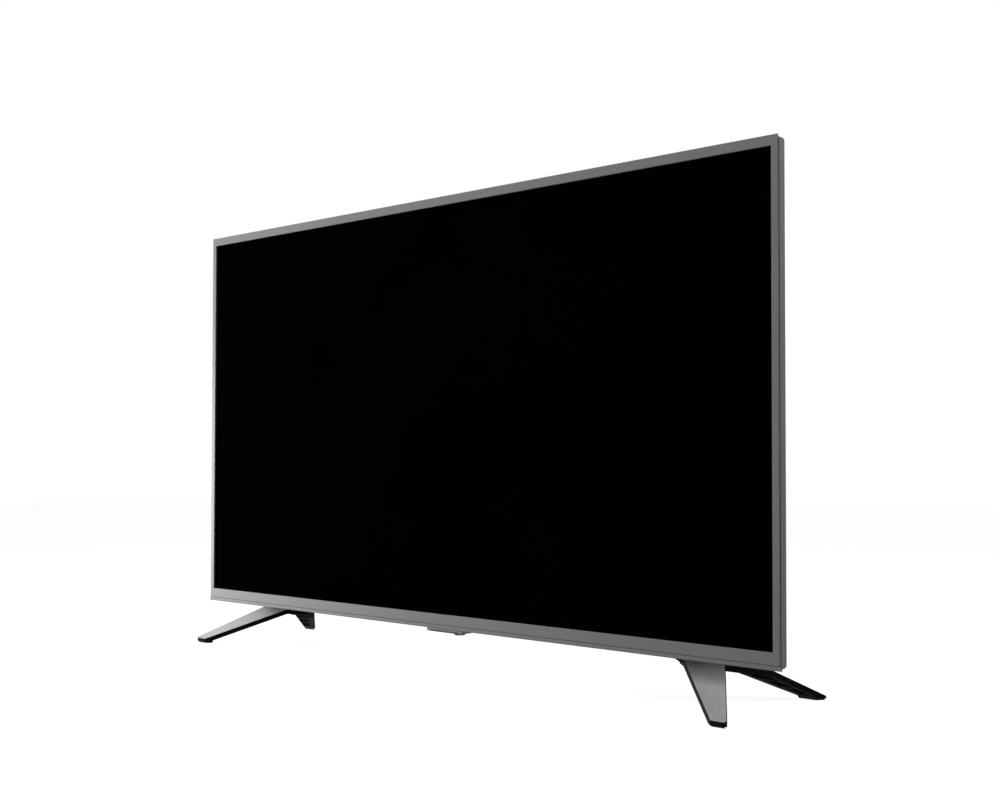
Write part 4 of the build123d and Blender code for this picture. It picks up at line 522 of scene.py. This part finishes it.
# Sound and picture jacks: five in a row, each ring in its usual colour.
green, blue, red, pale_ring = paint(40, 130, 60), paint(40, 70, 160), paint(170, 30, 30), grey(225)
ring_colours = (green, blue, red, pale_ring, red)
ring_grain_size = 0.001
jack_low, jack_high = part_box("av_jacks")
jack_rings = finish("jack_rings", Specular_IOR_Level=0.5)
along = put(jack_rings, "SeparateXYZ", Vector=put(jack_rings, "TexCoord").outputs["Object"]).outputs["X"]
row = put(jack_rings, "MapRange", Value=along, From_Min=jack_low[0], From_Max=jack_high[0])
ring_ramp = put(jack_rings, "ValToRGB", Fac=row.outputs["Result"])
stops = ring_ramp.color_ramp.elements
ring_ramp.color_ramp.interpolation = "CONSTANT"
ready_stops = len(stops)
for i, colour in enumerate(ring_colours):
    start = i / len(ring_colours)
    stop = stops[i] if i < ready_stops else stops.new(start)
    stop.position = start
    stop.color = colour
ring_grain = grain(jack_rings, ring_grain_size)
surface(jack_rings,
        blend_of(jack_rings, spread(jack_rings, ring_grain, low=0.0, high=0.12), ring_ramp.outputs["Color"],
                 grey(40)),
        spread(jack_rings, ring_grain, low=0.25, high=0.4))
dress(jack_rings, "av_jacks")


# Capacitors: aluminium cans in a dark shrunk sleeve.
shrink_size = 0.006
sleeve = finish("capacitor_sleeve", Specular_IOR_Level=0.5)
shrunk = grain(sleeve, shrink_size)
surface(sleeve,
        shades(sleeve, shrunk, dark=paint(22, 26, 40), light=paint(30, 34, 52)),
        spread(sleeve, shrunk, low=0.2, high=0.34),
        relief(sleeve, shrunk, depth=0.0001, strength=0.3))
dress(sleeve, "power_capacitors")


# Windings: enamelled copper laid turn beside turn, with painted shade in the groove beside
# each turn and a painted highlight along its crown.
turn_waves = 350.0
copper = finish("enamelled_copper", Metallic=0.6)
turns = put(copper, "TexWave", {"bands_direction": "Z"}, Vector=whereabouts(copper), Scale=turn_waves,
            Distortion=0.4).outputs["Fac"]
surface(copper,
        # Painted shade in the grooves between turns and a painted highlight on each turn's crown.
        shades(copper, turns, dark=paint(120, 60, 26), light=paint(190, 110, 56), low=0.2, high=0.8),
        spread(copper, turns, low=0.25, high=0.4),
        relief(copper, turns, depth=0.0002, strength=0.7))
dress(copper, "power_windings")


# Ribbons, wires and looms: flat flexible strips with their lines showing, and round wires in
# dull sleeves.
line_waves = 320.0
ribbon = finish("flat_ribbon", Specular_IOR_Level=0.5)
lines = put(ribbon, "TexWave", {"bands_direction": "X"}, Vector=whereabouts(ribbon),
            Scale=line_waves).outputs["Fac"]
surface(ribbon,
        shades(ribbon, lines, dark=grey(196), light=grey(222), low=0.35, high=0.65),
        spread(ribbon, lines, low=0.25, high=0.4),
        relief(ribbon, lines, depth=0.00005, strength=0.6))
dress(ribbon, "source_ribbons", "panel_ribbon")

braid_size = 0.0012
wire = finish("wire_sleeve", Specular_IOR_Level=0.4)
braid = grain(wire, braid_size, detail=3.0)
surface(wire,
        shades(wire, braid, dark=grey(26), light=grey(44)),
        spread(wire, braid, low=0.4, high=0.55),
        relief(wire, braid, depth=0.00008, strength=0.6))
dress(wire, "power_harness", "speaker_wires", "board_wires")


# Speakers: black boxes, each with a steel basket and a pressed paper cone whose fibres show.
fibre_size = (0.0015, 0.0004, 0.0015)
dress(body_black, "speaker_box_left", "speaker_box_right")
dress(zinc, "speaker_driver_left", "speaker_driver_right")
paper = finish("cone_paper", Specular_IOR_Level=0.2)
fibres = grain(paper, fibre_size, detail=5.0)
surface(paper,
        shades(paper, fibres, dark=grey(34), light=grey(58)),
        spread(paper, fibres, low=0.7, high=0.85),
        relief(paper, fibres, depth=0.0001, strength=0.8))
dress(paper, "speaker_cone_left", "speaker_cone_right")


# Screws: pan-headed steel with a cross recess, blackened on the shell and feet, bright on the
# boards. One tree makes them all, one screw at each place, with its sizes as inputs.
turning_size = 0.0005
blackened = finish("blackened_steel", Metallic=0.7)
turned = grain(blackened, turning_size, detail=3.0)
surface(blackened,
        shades(blackened, turned, dark=grey(44), light=grey(62)),
        spread(blackened, turned, low=0.3, high=0.45),
        relief(blackened, turned, depth=0.00002, strength=0.5))

screw_tree = bpy.data.node_groups.new("screw_rows", "GeometryNodeTree")
screw_face = screw_tree.interface
screw_face.new_socket("Geometry", in_out="INPUT", socket_type="NodeSocketGeometry")
sizes = {"Head radius": 0.0036, "Head height": 0.0018, "Shank radius": 0.0015, "Shank length": 0.02,
         "Recess width": 0.0009, "Recess depth": 0.0009}
for name, value in sizes.items():
    screw_face.new_socket(name, in_out="INPUT", socket_type="NodeSocketFloat").default_value = value
screw_face.new_socket("Turn", in_out="INPUT", socket_type="NodeSocketVector")
screw_face.new_socket("Metal", in_out="INPUT", socket_type="NodeSocketMaterial")
screw_face.new_socket("Geometry", in_out="OUTPUT", socket_type="NodeSocketGeometry")


def step(kind, modes=None, **inputs):
    return fill(screw_tree, screw_tree.nodes.new(kind), modes, inputs)


def times(value, factor):
    return step("ShaderNodeMath", {"operation": "MULTIPLY"}, _0=value, _1=factor).outputs[0]


def moved(shape, height):
    upward = step("ShaderNodeCombineXYZ", Z=height).outputs[0]
    return step("GeometryNodeTransform", Geometry=shape, Translation=upward).outputs[0]


def joined(operation, shapes, **inputs):
    whole = step("GeometryNodeMeshBoolean", {"operation": operation}, **inputs)
    for shape in shapes:
        screw_tree.links.new(shape, whole.inputs["Mesh 2"])
    return whole.outputs[0]


head_corners = 24
shank_corners = 16
side_share = 0.5
crown_share = 0.62
cut_share = 2.0
arm_share = 1.05
shank_rise_share = -0.499
given = screw_tree.nodes.new("NodeGroupInput").outputs
head_radius, head_height = given["Head radius"], given["Head height"]
head_side = step("GeometryNodeMeshCylinder", Vertices=head_corners, Radius=head_radius,
                 Depth=times(head_height, side_share))
head_crown = step("GeometryNodeMeshCone", Vertices=head_corners, Radius_Bottom=head_radius,
                  Radius_Top=times(head_radius, crown_share), Depth=times(head_height, 1 - side_share))
shank = step("GeometryNodeMeshCylinder", Vertices=shank_corners, Radius=given["Shank radius"],
             Depth=given["Shank length"])
arm = times(head_radius, arm_share)
slots = []
for across, along in ((given["Recess width"], arm), (arm, given["Recess width"])):
    slot_size = step("ShaderNodeCombineXYZ", X=across, Y=along, Z=times(given["Recess depth"], cut_share))
    slots.append(moved(step("GeometryNodeMeshCube", Size=slot_size.outputs[0]).outputs[0], head_height))
solid = joined("UNION", (moved(head_side.outputs[0], times(head_height, side_share / 2)),
                         moved(head_crown.outputs[0], times(head_height, side_share)),
                         moved(shank.outputs[0], times(given["Shank length"], shank_rise_share))))
screw_shape = joined("DIFFERENCE", [joined("UNION", slots)], Mesh_1=solid)
placed = step("GeometryNodeInstanceOnPoints", Points=given["Geometry"], Instance=screw_shape,
              Rotation=given["Turn"])
real = step("GeometryNodeRealizeInstances", Geometry=placed.outputs[0])
clad = step("GeometryNodeSetMaterial", Geometry=real.outputs[0], Material=given["Metal"])
screw_end = screw_tree.nodes.new("NodeGroupOutput")
screw_tree.links.new(clad.outputs[0], screw_end.inputs[0])
same_screw = 0.009


def screw_rows(name, node, heads, metal, slot, **given_sizes):
    """One screw for each of a node's screws, with its heads to the "rear" or "down"."""
    to_rear = heads == "rear"
    along = 1 if to_rear else 2
    groups = {}
    for corner in [corner.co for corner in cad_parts[node].data.vertices]:
        flat = tuple(corner[i] for i in range(3) if i != along)
        near = next((key for key in groups if math.dist(key, flat) < same_screw), flat)
        groups.setdefault(near, []).append(corner)
    head = given_sizes["Head_height"]
    places = []
    for group in groups.values():
        low = Vector([min(corner[i] for corner in group) for i in range(3)])
        high = Vector([max(corner[i] for corner in group) for i in range(3)])
        middle = (low + high) / 2
        middle[along] = high[along] - head if to_rear else low[along] + head
        places.append(middle)
    given_sizes["Shank_length"] = (high - low)[along] - head
    mesh = bpy.data.meshes.new(name)
    mesh.from_pydata([tuple(place) for place in places], [], [])
    spots = bpy.data.objects.new(name, mesh)
    bpy.context.scene.collection.objects.link(spots)
    rows = spots.modifiers.new("rows", "NODES")
    rows.node_group = screw_tree
    known = {item.name: item.identifier for item in screw_face.items_tree if item.in_out == "INPUT"}
    for label, value in given_sizes.items():
        rows[known[label.replace("_", " ")]] = value
    rows[known["Turn"]] = (math.radians(-90 if to_rear else 180), 0.0, 0.0)
    rows[known["Metal"]] = metal
    seen = spots.evaluated_get(bpy.context.evaluated_depsgraph_get())
    made = bpy.data.meshes.new_from_object(seen)
    spots.modifiers.clear()
    spots.data = made
    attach(spots, "cabinet")
    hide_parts(node)


screw_rows("shell_screws", "cover_screws", "rear", blackened, "screw_black", Head_radius=0.0036,
           Head_height=0.0018, Shank_radius=0.0015, Recess_width=0.0009, Recess_depth=0.0010)
screw_rows("feet_screws", "foot_screws", "down", blackened, "screw_black", Head_radius=0.0040,
           Head_height=0.0030, Shank_radius=0.00195, Recess_width=0.0011, Recess_depth=0.0016)
screw_rows("circuit_screws", "board_screws", "rear", nickel, "steel", Head_radius=0.0032,
           Head_height=0.0018, Shank_radius=0.00145, Recess_width=0.0008, Recess_depth=0.0010)
